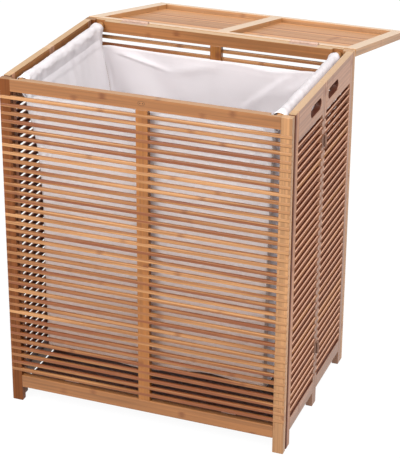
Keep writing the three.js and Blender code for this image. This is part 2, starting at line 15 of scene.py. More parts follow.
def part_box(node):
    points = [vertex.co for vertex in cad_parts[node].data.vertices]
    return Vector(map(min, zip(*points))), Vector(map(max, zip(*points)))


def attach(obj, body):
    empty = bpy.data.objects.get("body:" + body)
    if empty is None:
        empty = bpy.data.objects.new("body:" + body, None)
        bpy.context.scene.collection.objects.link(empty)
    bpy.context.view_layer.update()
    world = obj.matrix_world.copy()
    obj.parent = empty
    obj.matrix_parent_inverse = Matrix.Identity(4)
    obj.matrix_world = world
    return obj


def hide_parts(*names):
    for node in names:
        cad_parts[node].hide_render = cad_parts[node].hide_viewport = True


bl_info = {
    "name": "Folding bamboo hamper",
    "version": (1, 0, 0),
    "blender": (4, 5, 0),
    "location": "3D View > Sidebar > Hamper",
    "description": "Timber, hinges, cloth bag and studio of a folding slatted hamper",
    "category": "Object",
}

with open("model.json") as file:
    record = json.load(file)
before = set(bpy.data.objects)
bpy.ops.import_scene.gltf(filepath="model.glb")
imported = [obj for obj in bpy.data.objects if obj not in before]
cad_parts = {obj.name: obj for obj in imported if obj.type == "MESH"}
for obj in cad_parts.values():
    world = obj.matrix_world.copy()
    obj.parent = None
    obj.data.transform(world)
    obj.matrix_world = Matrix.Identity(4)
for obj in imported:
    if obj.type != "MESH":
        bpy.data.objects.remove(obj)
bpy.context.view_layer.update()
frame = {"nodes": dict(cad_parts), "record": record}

MM = 0.001
TOUCH = 0.02 * MM

PANEL_SLAT_COUNT = 37
LEAF_SLAT_COUNT = 35
SLAT_HEIGHT = 6 * MM
SLAT_DEPTH = 5 * MM
LEAF_SLAT_DEPTH = 6.2 * MM
SLAT_PROUD = 0.15 * MM
SLAT_SHORT_OF_SEAM = 2 * MM
CENTRE_STILE_WIDTH = 20.5 * MM
SEAM_STILE_WIDTH = 10 * MM
# Height over which the bamboo darkens towards the floor, partly its own tone and partly painted
# shade
SINK_HEIGHT = 300 * MM
FRONT_CLOTH_Y = -310 * MM
# Height below which the front cloth gets painted shade and painted bounce light
SHADED_CLOTH_Z = 470 * MM
STITCH_LENGTH = 3.4 * MM
LID_TILT = math.radians(12)
LID_STRIPS = 3
PLUG_HEIGHT = 11 * MM
SLOT_DEPTH = 8 * MM
ROD_RADIUS = 7.25 * MM
ROD_EASING = 1.2 * MM


# Sizes and colours that a user would change

def colour_setting(name, painted, red, green, blue):
    return bpy.props.FloatVectorProperty(
        name=name, description=f"Colour of {painted}", subtype="COLOR", size=3, min=0, max=1,
        default=linear(red, green, blue),
    )


def length_setting(name, description, millimetres):
    return bpy.props.FloatProperty(
        name=name, description=description, default=millimetres * MM, min=0, unit="LENGTH",
        precision=4,
    )


def strength_setting(name, description, default):
    return bpy.props.FloatProperty(name=name, description=description, default=default, min=0)


def share_setting(name, description, default):
    return bpy.props.FloatProperty(
        name=name, description=description, default=default, min=0, max=1,
    )


def linear(red, green, blue):
    """The linear colour of three screen values from 0 to 255."""
    def one(value):
        share = value / 255
        return share / 12.92 if share <= 0.04045 else ((share + 0.055) / 1.055) ** 2.4
    return (one(red), one(green), one(blue))


class TimberSettings(bpy.types.PropertyGroup):
    honey: colour_setting("Honey", "most slats", 148, 98, 54)
    pale: colour_setting("Pale", "the palest slats", 182, 131, 84)
    red: colour_setting("Red", "the reddest slats", 122, 66, 32)
    rail: colour_setting("Rails", "the front and rear rails", 141, 92, 51)
    # Painted light: a paler copy of the rails' colour for the rear top rail, whose inner face is
    # lit
    rear: colour_setting("Rear rail", "the rear top rail", 158, 103, 57)
    centre: colour_setting("Centre stiles", "the centre stiles", 140, 86, 34)
    left: colour_setting("Left stiles", "the left stiles", 112, 64, 33)
    right: colour_setting("Right stiles", "the right stiles", 174, 126, 82)
    leaf: colour_setting("Side leaves", "the side leaves' frames", 160, 116, 90)
    leaf_slat: colour_setting("Side slats", "the side leaves' slats", 126, 75, 45)
    # Painted light: the paler colour mixed onto faces that look up, standing in for light from
    # above
    lit_tops: colour_setting("Top faces", "the faces that look up", 188, 156, 118)
    # Painted highlight: the pale colour painted on the side slats' outer upper edges, where light
    # from above catches them
    slat_highlight: colour_setting("Slat edges", "the side slats' upper edges", 236, 190, 164)
    # Painted shade: the dark colour painted into slots, beside hinge gaps and on the slats' faces
    # inside the gaps
    gap_shade: colour_setting("Hollows", "the insides of slots and narrow gaps", 74, 26, 12)
    lid: colour_setting("Lid frame", "the lid's rails", 172, 124, 78)
    # Painted light: the lid's rails are painted paler on top, for light from above
    lit_lid_tops: colour_setting("Lid tops", "the lid's rails on top", 212, 183, 152)
    board: colour_setting("Lid boards", "the lid's boards", 182, 130, 86)
    # Painted shade: the base board is coloured far darker than the other bamboo, for the shade
    # inside the hamper
    base: colour_setting("Base", "the base board", 78, 38, 20)
    easing: length_setting("Easing", "How far the edges are rounded", 0.8)
    slat_easing: length_setting("Slat easing", "How far the slats' edges are rounded", 0.8)
    base_margin: length_setting("Base margin", "Gap between the base and a side leaf", 14)


class BagSettings(bpy.types.PropertyGroup):
    cloth: colour_setting("Cloth", "the cotton", 248, 244, 246)
    # Painted shade and bounce light: the darker pinkish colour of the front's lower cloth
    shade_and_bounce: colour_setting("Lower cloth", "the front's lower cotton", 210, 184, 170)
    thread: colour_setting("Thread", "the stitches", 176, 152, 128)
    glow: share_setting("Light let through", "Share of light that goes through the cloth", 0.46)
    thickness: length_setting("Thickness", "Thickness of the cloth", 0.9)
    fold_depth: length_setting("Fold depth", "How deep the soft folds are", 4.0)
    sleeve_depth: length_setting("Sleeve depth", "From the rod's axis down to its seam", 31)
    hem: length_setting("Hem", "Width of the hem of the rim", 14)


class StageSettings(bpy.types.PropertyGroup):
    floor: colour_setting("Floor", "the floor and backdrop", 200, 200, 202)
    key_watts: strength_setting("Key lamp", "Power of the main soft lamp", 36)
    fill_watts: strength_setting("Fill lamp", "Power of the soft lamp on the right", 13)
    top_light: strength_setting("Top light", "Strength of the soft sun overhead", 3)
    sky: strength_setting("Room light", "Strength of the light from all round", 0.34)
    mirrored: strength_setting("Mirrored room", "Brightness of the room in glossy surfaces", 1.1)
    whiteness: share_setting("Whiteness", "Share of white in what is seen of the floor", 0.87)


# Shader sums

def sum_of(operation):
    """A method that adds a Math node with this operation."""
    def method(value, other=0):
        return value.finish.math(operation, value, other)
    return method


class Value:
    """A number that varies over a surface, with Python's operators for its sums."""

    def __init__(self, finish, socket):
        self.finish = finish
        self.socket = socket

    def __rsub__(self, other):
        return self.finish.math("SUBTRACT", other, self)

    def clamped(self):
        return self.at_least(0).at_most(1)

    def rise(self, edge, slope):
        """0 up to an edge, and 1 well past it."""
        return ((self - edge) * slope).clamped()

    def fall(self, edge, slope):
        """0 past an edge, and 1 well short of it."""
        return ((edge - self) * slope).clamped()

    def near(self, width, strength=1):
        """For a distance: 1 close by, and 0 at the width times the strength."""
        return (strength - self / width).clamped()

    __add__ = __radd__ = sum_of("ADD")
    __sub__ = sum_of("SUBTRACT")
    __mul__ = __rmul__ = sum_of("MULTIPLY")
    __truediv__ = sum_of("DIVIDE")
    __abs__ = sum_of("ABSOLUTE")
    at_least = sum_of("MAXIMUM")
    at_most = sum_of("MINIMUM")
    floor = sum_of("FLOOR")
    fract = sum_of("FRACT")
    root = sum_of("SQRT")


class Nodes:
    """A node tree, and the one method that adds a node to it."""

    def __init__(self, owner):
        owner.use_nodes = True
        self.tree = owner.node_tree
        self.tree.nodes.clear()

    def add(self, kind, settings=None, **sockets):
        node = self.tree.nodes.new(kind)
        for name, value in (settings or {}).items():
            if name == "stops":
                self.set_stops(node, value)
            else:
                setattr(node, name, value)
        for name, value in sockets.items():
            key = int(name[1:]) if name[1:].isdigit() else name.replace("_", " ")
            self.feed(node.inputs[key], value)
        return node

    def feed(self, socket, value):
        value = getattr(value, "socket", value)
        if isinstance(value, bpy.types.NodeSocket):
            self.tree.links.new(value, socket)
        else:
            socket.default_value = value

    def set_stops(self, node, stops):
        ramp = node.color_ramp
        while len(ramp.elements) < len(stops):
            ramp.elements.new(1)
        for element, (position, colour) in zip(ramp.elements, stops):
            element.position = position
            element.color = (*colour, 1)

    def seen_directly(self, *kinds):
        """1 for the rays of these kinds, such as the camera's own, and 0 for any other."""
        path = self.add("ShaderNodeLightPath")
        seen = path.outputs[kinds[0]]
        for kind in kinds[1:]:
            seen = self.add(
                "ShaderNodeMath", {"operation": "MAXIMUM"}, _0=seen, _1=path.outputs[kind],
            ).outputs[0]
        return seen


class Finish(Nodes):
    """A material with one principled shader, and the colour and sums that feed it."""

    def __init__(self, name, **constants):
        self.material = bpy.data.materials.new(name)
        super().__init__(self.material)
        self.shader = self.add("ShaderNodeBsdfPrincipled")
        self.output = self.add("ShaderNodeOutputMaterial", Surface=self.shader.outputs[0])
        self.give(**constants)
        self.place = self.add("ShaderNodeTexCoord").outputs["Object"]

    def give(self, **sockets):
        """Sets or feeds the principled shader's sockets."""
        for name, value in sockets.items():
            self.feed(self.shader.inputs[name.replace("_", " ")], value)

    def paint(self, colour):
        """Starts the finish's colour, from three channels or a colour socket."""
        self.colour = colour if isinstance(colour, bpy.types.NodeSocket) else (*colour, 1)

    def tint(self, colour, share):
        """Mixes a share of another colour into the finish's colour."""
        node = self.add(
            "ShaderNodeMix", {"data_type": "RGBA"}, _0=share, _6=self.colour, _7=(*colour, 1),
        )
        self.colour = node.outputs[2]
        self.give(Base_Color=self.colour)

    def mix_in(self, shader, share):
        """Shows a share of another shader in place of the principled one."""
        mix = self.add(
            "ShaderNodeMixShader", _0=share, _1=self.shader.outputs[0], _2=shader.outputs[0],
        )
        self.feed(self.output.inputs["Surface"], mix.outputs[0])

    def math(self, operation, first, second=0):
        node = self.add("ShaderNodeMath", {"operation": operation}, _0=first, _1=second)
        return Value(self, node.outputs[0])

    def distance(self, direction):
        """The distance along a direction, in metres."""
        node = self.add(
            "ShaderNodeVectorMath", {"operation": "DOT_PRODUCT"}, _0=self.place, _1=direction,
        )
        return Value(self, node.outputs["Value"])

    def random(self, number):
        node = self.add("ShaderNodeTexWhiteNoise", {"noise_dimensions": "1D"}, W=number)
        return Value(self, node.outputs["Value"])

    def kept(self, name):
        """A number that is kept at each point of the mesh."""
        node = self.add("ShaderNodeAttribute", {"attribute_name": name})
        return Value(self, node.outputs["Fac"])

    def clouds(self, vector, scale, detail=2.0, roughness=0.5):
        node = self.add(
            "ShaderNodeTexNoise", Vector=vector, Scale=scale, Detail=detail, Roughness=roughness,
        )
        return Value(self, node.outputs["Fac"])

    def vector(self, x, y, z):
        return self.add("ShaderNodeCombineXYZ", X=x, Y=y, Z=z).outputs[0]

    def ramp(self, number, stops):
        return self.add("ShaderNodeValToRGB", {"stops": stops}, Fac=number).outputs["Color"]

    def bump(self, height, depth):
        self.give(Normal=self.add("ShaderNodeBump", Height=height, Distance=depth).outputs[0])


def shaded(colour, share):
    return tuple(min(1.0, channel * share) for channel in colour)


def blended(first, second, share):
    return tuple(a + (b - a) * share for a, b in zip(first, second))


RIGHT, REAR, UP = (1, 0, 0), (0, 1, 0), (0, 0, 1)
LID_REAR = (0, math.cos(LID_TILT), -math.sin(LID_TILT))
LID_UP = (0, math.sin(LID_TILT), math.cos(LID_TILT))

# The directions along the grain, across its strips and through them, by the way the grain runs
AXES = {
    "x": (RIGHT, UP, REAR),
    "y": (REAR, UP, RIGHT),
    "z": (UP, RIGHT, REAR),
    "lid x": (RIGHT, LID_REAR, LID_UP),
    "lid y": (LID_REAR, RIGHT, LID_UP),
}


class Bamboo(Finish):
    """Lacquered bamboo: strips side by side across the grain, each with its own tone, fine
    fibres along it, and the soft dark smudges of the stalk's joints. spread is how far the
    strips' tones vary, joint_gap the length between joints, sink how much darker and redder the
    lowest parts are, partly their own tone and partly painted shade near the floor, and gloss
    the shine of the lacquer."""

    def __init__(self, name, tones, grain, strip, start=0.0, spread=0.25, joint_gap=0.24,
                 sink=0.0, gloss=0.42):
        super().__init__(
            name, Coat_Roughness=0.25, Coat_Weight=gloss / 4, Specular_IOR_Level=gloss,
        )
        self.along, self.across, self.through = (self.distance(axis) for axis in AXES[grain])
        self.strip, self.strips = strip, (self.across - start) / strip
        number = self.strips.floor()
        luck = self.random(number + 7.3)
        self.shift = luck * 3.7 + number * 0.613
        fibres = self.streaked((9, 900, 900), (5, 31), 3.0, 0.6)
        streaks = self.streaked((2.4, 190, 150), (3, 17), 2.0)
        patches = self.streaked((5, 30, 30), (1, 5), 1.0)

        from_joint = abs((self.along / joint_gap + self.shift).fract() - 0.5) * joint_gap
        from_joint = abs(from_joint + (streaks - 0.5) * (6 * MM))
        smudge = from_joint.near(7.5 * MM, 1.2) * (patches * 2.4 - 0.68).clamped()
        tone = (luck - 0.5) * spread + 0.5 + (streaks - 0.5) * 3.0 + (patches - 0.5) * 1.3
        # Darker and redder towards the floor: partly the bamboo's own tone, partly painted shade
        if sink:
            tone = tone - self.distance(UP).near(SINK_HEIGHT) * sink

        self.middle = tones[len(tones) // 2][1]
        # One dark colour for the bamboo's own joint smudges and for the painted shade in the lid
        # boards' joints
        self.stain_and_shade = tuple(a * b for a, b in zip(self.middle, (0.5, 0.34, 0.24)))
        self.paint(self.ramp(tone.clamped(), tones))
        self.tint(shaded(self.middle, 0.5), (fibres - 0.44).clamped() * 1.2)
        self.tint(shaded(self.middle, 1.25), from_joint.near(20 * MM) * 0.18)
        self.tint(self.stain_and_shade, smudge * 0.8)
        self.give(Roughness=fibres * 0.16 + 0.36)
        self.bump(fibres * 0.5 + streaks * 0.5 + smudge * 0.6, 0.14 * MM)

    def streaked(self, scales, shifts, detail, roughness=0.5):
        """Clouds drawn out along the grain, in another place for each strip."""
        place = self.vector(
            self.along * scales[0] + self.shift * shifts[0],
            self.across * scales[1] + self.shift * shifts[1], self.through * scales[2],
        )
        return self.clouds(place, 1.0, detail, roughness)

    def up_the_slat(self):
        """-1 at a slat's lower edge and 1 at its upper edge."""
        return (self.strips.fract() - 0.5) * (2 * self.strip / SLAT_HEIGHT)

    def paint_joint_shade_and_lips(self, share):
        """Paints shade into the joints between strips, as in a groove, and a highlight on a lip
        beside each, as on a lit bevel.
        """
        beside = (self.strips.fract() - 0.5) * self.strip
        joint = (self.strip / 2 - abs(beside)).near(3.6 * MM, 1.5)
        lip = abs(beside - self.strip / 2 + 13 * MM).near(6.5 * MM, 1.4)
        self.tint(shaded(self.middle, 1.45), lip * share * 0.8)
        self.tint(self.stain_and_shade, joint * share)
        return self

    def turn_slat_ends(self, end, tone):
        """Turns the slats to another tone past their joint with a stile, and paints a shadow under
        each slat there.
        """
        beyond = self.along.rise(end, 2000)
        under = self.up_the_slat().fall(-0.66, 4)
        self.tint(tone, beyond * 0.7)
        self.tint(shaded(tone, 0.4), beyond * under * 0.75)
        return self

    def shade_hinge_gap(self, y):
        """Paints a shadow on the edge beside a hinge's gap."""
        self.tint(timber().gap_shade, abs(self.distance(REAR) - y).fall(6 * MM, 900) * 0.8)
        return self

    def paint_slat_light_and_shade(self, face, share):
        """Paints a highlight on the slats' outer upper edges, and paints shade on the slats behind
        their outer face, in the gaps.
        """
        inwards = face - abs(self.through)
        upper, outer = self.up_the_slat().rise(0.74, 4), inwards.near(1.6 * MM, 1.6)
        self.tint(timber().slat_highlight, upper * outer * share)
        self.tint(timber().gap_shade, inwards.rise(2.1 * MM, 900) * share)
        return self

    def paint_top_light(self, upwards, top, tone, share):
        """Paints light onto the faces at the top, measured along a direction: a painted highlight
        for light from above.
        """
        self.tint(tone, self.distance(upwards).rise(top - 0.9 * MM, 2200) * share)
        return self

    def shade_grip_slot(self, x, top):
        """Paints shade inside a grip slot, in the middle of a board."""
        inside = abs(abs(self.distance(RIGHT)) - x).fall(5.6 * MM, 1500)
        self.tint(timber().gap_shade, inside * self.distance(UP).fall(top, 800) * 0.9)
        return self

    def plug(self, x, z):
        """A pale oval plug with a dark rim and two small dark marks in it."""
        across, up = self.distance(RIGHT) - x, self.distance(UP) - z
        apart = (across * across / 2.4 + up * up).root()
        self.tint(shaded(self.middle, 1.3), apart.near(3 * MM, 1.4) * 0.7)
        self.tint(shaded(self.middle, 0.35), abs(apart - 3.6 * MM).near(0.9 * MM) * 0.8)
        beside = abs(across) - 2.2 * MM
        self.tint(shaded(self.middle, 0.12), (beside * beside + up * up).root().near(MM, 1.6))
        return self


def metal(name, colour, roughness, metallic=0.6):
    """Dull plated steel with faint brushing and a few duller spots."""
    finish = Finish(name, Metallic=metallic)
    x, y, z = (finish.distance(axis) for axis in (RIGHT, REAR, UP))
    brushing = finish.clouds(finish.vector(x * 90, y * 2600, z * 2600), 1.0, 2.0)
    dull = finish.clouds(finish.place, 260, 2.0)
    finish.paint(colour)
    finish.tint(shaded(colour, 0.62), (dull - 0.45).clamped() * 1.6)
    finish.give(Roughness=brushing * 0.2 + dull * 0.14 + roughness)
    finish.bump(brushing, 0.04 * MM)
    return finish


def cotton(name, bag):
    """Plain woven cotton that lets some light through, though none at the front, where painted
    shade and a painted pinkish bounce from the wood darken it towards the bottom, with a painted
    shadow and dashes of thread along its seams."""
    finish = Finish(name, Roughness=0.92, Sheen_Weight=0.15)
    front = finish.distance(REAR).fall(FRONT_CLOTH_Y, 200)
    low = finish.distance(UP).fall(SHADED_CLOTH_Z, 2.8) * front
    broad = finish.clouds(finish.place, 7, 2.0)
    weave = finish.clouds(finish.place, 1500, 1.0)
    across, walk = finish.kept("seam_across"), finish.kept("seam_walk")
    # Painted shadow along each seam's fold, darkest at the seam; the same mask also shapes the
    # bump
    crease = abs(across).near(1.3 * MM)
    dash = abs((walk / STITCH_LENGTH).fract() - 0.5).fall(0.36, 9)
    stitch = abs(across).near(0.6 * MM, 1.5) * dash
    finish.paint(bag.cloth)
    finish.tint(shaded(bag.cloth, 0.93), broad)
    # Painted shade and painted bounce light on the front's lower cloth
    finish.tint(bag.shade_and_bounce, low)
    finish.tint(shaded(bag.cloth, 0.86), (weave - 0.5).clamped() * 0.7)
    # Painted shadow along the seams
    finish.tint(shaded(bag.cloth, 0.72), crease * 0.3)
    finish.tint(bag.thread, stitch * 0.85)
    finish.bump(weave * 0.4 + broad - crease * 1.5, 0.3 * MM)
    light = finish.add("ShaderNodeBsdfTranslucent", Color=(*shaded(bag.cloth, 0.96), 1))
    finish.mix_in(light, bag.glow * (1 - front))
    return finish


# Modelling by hand

def alone(piece):
    bpy.ops.object.select_all(action="DESELECT")
    piece.select_set(True)
    bpy.context.view_layer.objects.active = piece


def edit(piece):
    alone(piece)
    bpy.ops.object.mode_set(mode="EDIT")


def done():
    bpy.ops.object.mode_set(mode="OBJECT")


def placed(name, data):
    """A new object of the scene that holds a mesh, a lamp or a camera."""
    holder = bpy.data.objects.new(name, data)
    bpy.context.scene.collection.objects.link(holder)
    return holder


def modified(piece, kind, **settings):
    """Applies a modifier to a piece."""
    alone(piece)
    bpy.ops.object.modifier_add(type=kind)
    modifier = piece.modifiers[-1]
    for name, value in settings.items():
        setattr(modifier, name, value)
    bpy.ops.object.modifier_apply(modifier=modifier.name)


def block(name, low, high):
    """A box between two corners, its place in its mesh."""
    low, high = Vector(low), Vector(high)
    bpy.ops.mesh.primitive_cube_add(size=1, location=(low + high) / 2, scale=high - low)
    piece = bpy.context.object
    piece.name = piece.data.name = name
    bpy.ops.object.transform_apply()
    return piece


def ease(piece, width, wanted=None):
    """Rounds a piece's sharp edges, or those of them that are wanted."""
    edit(piece)
    bpy.ops.mesh.select_all(action="DESELECT")
    bpy.ops.mesh.select_mode(type="EDGE")
    bpy.ops.mesh.edges_select_sharp(sharpness=math.radians(40))
    if wanted:
        mesh = bmesh.from_edit_mesh(piece.data)
        for edge in mesh.edges:
            if edge.select and not wanted(*(vert.co for vert in edge.verts)):
                edge.select_set(False)
        bmesh.update_edit_mesh(piece.data)
    bpy.ops.mesh.bevel(offset=width, segments=2, affect="EDGES", clamp_overlap=True)
    bpy.ops.mesh.select_mode(type="VERT")
    done()


def repeat(piece, count, step):
    """Copies a piece's mesh in a row, inside the piece."""
    modified(
        piece, "ARRAY", use_relative_offset=False, use_constant_offset=True,
        constant_offset_displace=step, count=count,
    )


def join(name, pieces):
    bpy.ops.object.select_all(action="DESELECT")
    for piece in pieces:
        piece.select_set(True)
    bpy.context.view_layer.objects.active = pieces[0]
    bpy.ops.object.join()
    pieces[0].name = pieces[0].data.name = name
    return pieces[0]


def copied(node, name):
    """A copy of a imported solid, its loose triangles merged into whole faces."""
    piece = placed(name, frame["nodes"][node].data.copy())
    piece.data.name = name
    edit(piece)
    bpy.ops.mesh.select_all(action="SELECT")
    bpy.ops.mesh.customdata_custom_splitnormals_clear()
    bpy.ops.mesh.remove_doubles(threshold=0.01 * MM)
    bpy.ops.mesh.dissolve_limited(angle_limit=math.radians(1))
    bpy.ops.mesh.faces_shade_flat()
    done()
    return piece


def body_of(node):
    for body, nodes in frame["record"]["behaviour"]["bodies"].items():
        if node in nodes:
            return body
    raise RuntimeError(f"no body holds {node}")


def dress(piece, finish, body, slot, *nodes):
    """Gives a piece its finish and the body that it moves with, and hides the solids that it
    stands for.
    """
    if finish:
        piece.data.materials.clear()
        piece.data.materials.append(material(finish))
    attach(piece, body)
    if nodes:
        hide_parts(*nodes)
    return piece


def eased_copy(node, finish, slot, wanted=None, share=1):
    """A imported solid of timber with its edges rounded, by a share of the usual easing."""
    piece = copied(node, f"{node}_timber")
    ease(piece, timber().easing * share, wanted)
    dress(piece, finish, body_of(node), slot, node)


def timber():
    return bpy.context.scene.hamper_timber


def bag_settings():
    return bpy.context.scene.hamper_bag


# Finishes

FINISHES = {}


def material(name):
    """A finish's material; all of them are made when the first one is asked for."""
    if not FINISHES:
        make_finishes()
    return FINISHES[name]


def slat_rows(count, below, above):
    """Where the lowest of the slats between two nodes starts, and the step between slats."""
    low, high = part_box(below)[1].z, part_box(above)[0].z
    gap = (high - low - count * SLAT_HEIGHT) / (count + 1)
    return low + gap, SLAT_HEIGHT + gap


def panel_rows():
    return slat_rows(PANEL_SLAT_COUNT, "front_bottom_rail", "front_top_rail")


def leaf_rows():
    return slat_rows(LEAF_SLAT_COUNT, "left_front_leaf_bottom_rail", "left_front_leaf_grip_board")


def reach(node, direction):
    """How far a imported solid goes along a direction, back and forth."""
    places = [Vector(direction).dot(vertex.co) for vertex in frame["nodes"][node].data.vertices]
    return min(places), max(places)


def plain_tones(colour):
    return [(0.0, shaded(colour, 0.74)), (0.5, colour), (1.0, shaded(colour, 1.2))]


def slat_bamboo(name, tones, grain, rows, **options):
    """Bamboo with a tone of its own for each slat."""
    start, step = rows
    return Bamboo(name, tones, grain, step, start - (step - SLAT_HEIGHT) / 2, **options)


def make_finishes():
    wood = timber()
    honey, pale, red, side = wood.honey, wood.pale, wood.red, wood.leaf_slat
    slat_tones = [
        (0.0, red), (0.24, blended(red, honey, 0.6)), (0.5, honey),
        (0.8, blended(honey, pale, 0.6)), (1.0, pale),
    ]
    side_tones = [
        (0.0, shaded(blended(red, side, 0.3), 0.7)), (0.3, blended(red, side, 0.6)),
        (0.6, side), (1.0, blended(side, honey, 0.9)),
    ]
    grip_low, grip_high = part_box("right_front_leaf_grip_board")
    slot = (grip_low.x + grip_high.x) / 2, grip_high.z - SLOT_DEPTH
    boards_start, boards_end = reach("lid_left_boards", LID_REAR)
    board_strip = (boards_end - boards_start) / LID_STRIPS

    # Painted light: each part's faces at the top are painted paler by the share given, for light
    # from above
    def lit_tops(share):
        return UP, grip_high.z, wood.lit_tops, share

    lid_crown = LID_UP, reach("lid_centre_rail", LID_UP)[1], wood.lit_lid_tops, 0.85
    finishes = {}
    # Each row: a finish's name, colour, grain, strip width in millimetres, painted top light or
    # none, and options
    for name, colour, grain, strip, top, options in (
        ("rail", wood.rail, "x", 10.5, lit_tops(0.3), {"joint_gap": 0.22}),
        ("plugged_rail", wood.rail, "x", 10.5, lit_tops(0.3), {"joint_gap": 0.22}),
        # Painted light: the rear top rail paler than the other rails, and paler still on top
        ("lit_rear_rail", wood.rear, "x", 10.5, lit_tops(0.8), {}),
        ("centre", wood.centre, "z", 10.2, None, {"spread": 0.3, "joint_gap": 0.26}),
        ("left", wood.left, "z", 9.8, lit_tops(0.3),
         {"spread": 0.3, "joint_gap": 0.26, "gloss": 0.08}),
        ("right", wood.right, "z", 9.8, lit_tops(0.3),
         {"spread": 0.3, "joint_gap": 0.3, "sink": 0.3}),
        ("leaf", wood.leaf, "z", 9, lit_tops(0.75), {"joint_gap": 0.25, "sink": 0.75}),
        # Painted reflection: the front leaves' corner stiles get a paler copy of the leaves'
        # colour with little gloss, their sheen painted into the colour
        ("front_leaf", shaded(wood.leaf, 1.25), "z", 9, lit_tops(0.75),
         {"joint_gap": 0.25, "sink": 0.75, "gloss": 0.08}),
        ("left_leaf_rail", wood.rail, "y", 17.3, lit_tops(0.75),
         {"spread": 0.3, "sink": 0.85, "gloss": 0.2}),
        ("right_leaf_rail", wood.leaf, "y", 17.3, lit_tops(0.75), {"spread": 0.3, "sink": 0.85}),
        ("lid_rail", wood.lid, "lid x", 10, lid_crown, {}),
        ("lid_side", wood.lid, "lid y", 10, lid_crown, {}),
        # Painted shade: the base's dark colour
        ("base", wood.base, "x", 20, None, {"spread": 0.5, "joint_gap": 0.26}),
        ("rod", wood.lid, "y", 20, None, {"spread": 0.3, "joint_gap": 0.4}),
    ):
        finish = Bamboo(f"{name}_bamboo", plain_tones(colour), grain, strip * MM, **options)
        # Painted shadow on the front leaves' corner stiles, beside the hinge gap
        if name == "front_leaf":
            finish.shade_hinge_gap(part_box("right_front_leaf_corner_stile")[0].y)
        finishes[name] = finish.paint_top_light(*top) if top else finish
    finishes["plugged_rail"].plug(0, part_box("front_top_rail")[0].z + PLUG_HEIGHT)
    # Painted shade inside the side leaves' grip slots
    for side_rail in ("left_leaf_rail", "right_leaf_rail"):
        finishes[side_rail].shade_grip_slot(*slot)

    finishes["slats"] = slat_bamboo(
        "slat_bamboo", slat_tones, "x", panel_rows(), spread=0.62, joint_gap=0.31, sink=0.62,
    ).turn_slat_ends(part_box("front_right_stile")[0].x, wood.right)
    finishes["leaf_slats"] = slat_bamboo(
        "leaf_slat_bamboo", side_tones, "y", leaf_rows(), spread=0.7, joint_gap=0.23, sink=0.15,
        gloss=0.03,
    ).paint_slat_light_and_shade(grip_high.x, 0.85)
    # The lid boards get painted shade in their joints and a painted highlight beside each
    finishes["lid_board"] = Bamboo(
        "lid_board_bamboo", plain_tones(wood.board), "lid x", board_strip, boards_start,
        spread=1.4, joint_gap=0.28, gloss=0.1,
    ).paint_joint_shade_and_lips(0.9)
    finishes["steel"] = metal("hinge_steel", linear(186, 158, 142), 0.5)
    finishes["dull_steel"] = metal("dull_hinge_steel", linear(140, 108, 92), 0.5)
    # Painted reflection: the base hinges get a pale, barely metallic steel that stands in for
    # their glint
    finishes["glint_steel"] = metal("glint_hinge_steel", linear(244, 214, 200), 0.6, 0.2)
    finishes["cotton"] = cotton("bag_cotton", bag_settings())
    FINISHES.update({name: finish.material for name, finish in finishes.items()})


# Front and rear panels

def upright_corner(low, high):
    """A test for the long edges at the corners of an upright, and not those of its notches."""
    def wanted(first, second):
        upright = abs(first.z - second.z) > abs(first.x - second.x) + abs(first.y - second.y)
        at_side = min(abs(first.x - low.x), abs(first.x - high.x)) < TOUCH
        at_face = min(abs(first.y - low.y), abs(first.y - high.y)) < TOUCH
        at_end = min(
            abs(first.z - low.z) + abs(second.z - low.z),
            abs(first.z - high.z) + abs(second.z - high.z),
        ) < TOUCH
        return (upright and at_side and at_face) or at_end
    return wanted


def layers(low, high, facing, depth):
    """The spans of the slats and of the stile behind, which they stand a little proud of."""
    if facing < 0:
        return (low, low + depth), (low + SLAT_PROUD, high)
    return (high - depth, high), (low, high - SLAT_PROUD)


def slats_and_stile(name, node, slot, count, rows, slats, stile):
    """Slats and the stile that they are let into, each with its x and y spans and its finish."""
    low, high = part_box(node)
    start, step = rows
    (left, right), (front, rear), finish = slats
    row = block("slat", (left, front, start), (right, rear, start + SLAT_HEIGHT))
    ease(row, timber().slat_easing)
    repeat(row, count, (0, 0, step))
    row.data.materials.append(material(finish))
    (left, right), (front, rear), finish = stile
    upright = block("stile", (left, front, low.z), (right, rear, high.z))
    ease(upright, timber().easing)
    upright.data.materials.append(material(finish))
    dress(join(name, [row, upright]), None, body_of(node), slot, node)


def slatted_panel(name, facing):
    """The slats and centre stile of one panel; facing is -1 where its face looks forwards."""
    node = f"{name}_centre_stile_and_slats"
    low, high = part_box(node)
    slat_y, stile_y = layers(low.y, high.y, facing, SLAT_DEPTH)
    half = CENTRE_STILE_WIDTH / 2
    slats_and_stile(
        f"{name}_slats_and_centre_stile", node, "bamboo_slats", PANEL_SLAT_COUNT, panel_rows(),
        ((low.x, high.x), slat_y, "slats"), ((-half, half), stile_y, "centre"),
    )


class HAMPER_OT_panels(bpy.types.Operator):
    """Make the slats, stiles and rails of the front and rear panels"""
    bl_idname = "hamper.panels"
    bl_label = "Front and rear panels"

    def execute(self, context):
        for name, facing, top in (("front", -1, "plugged_rail"), ("rear", 1, "lit_rear_rail")):
            slatted_panel(name, facing)
            for side in ("left", "right"):
                node = f"{name}_{side}_stile"
                eased_copy(node, side, "bamboo_stile", upright_corner(*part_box(node)))
            eased_copy(f"{name}_top_rail", top, "bamboo_rail")
            eased_copy(f"{name}_bottom_rail", "rail", "bamboo_rail")
        return {"FINISHED"}


# Side leaves

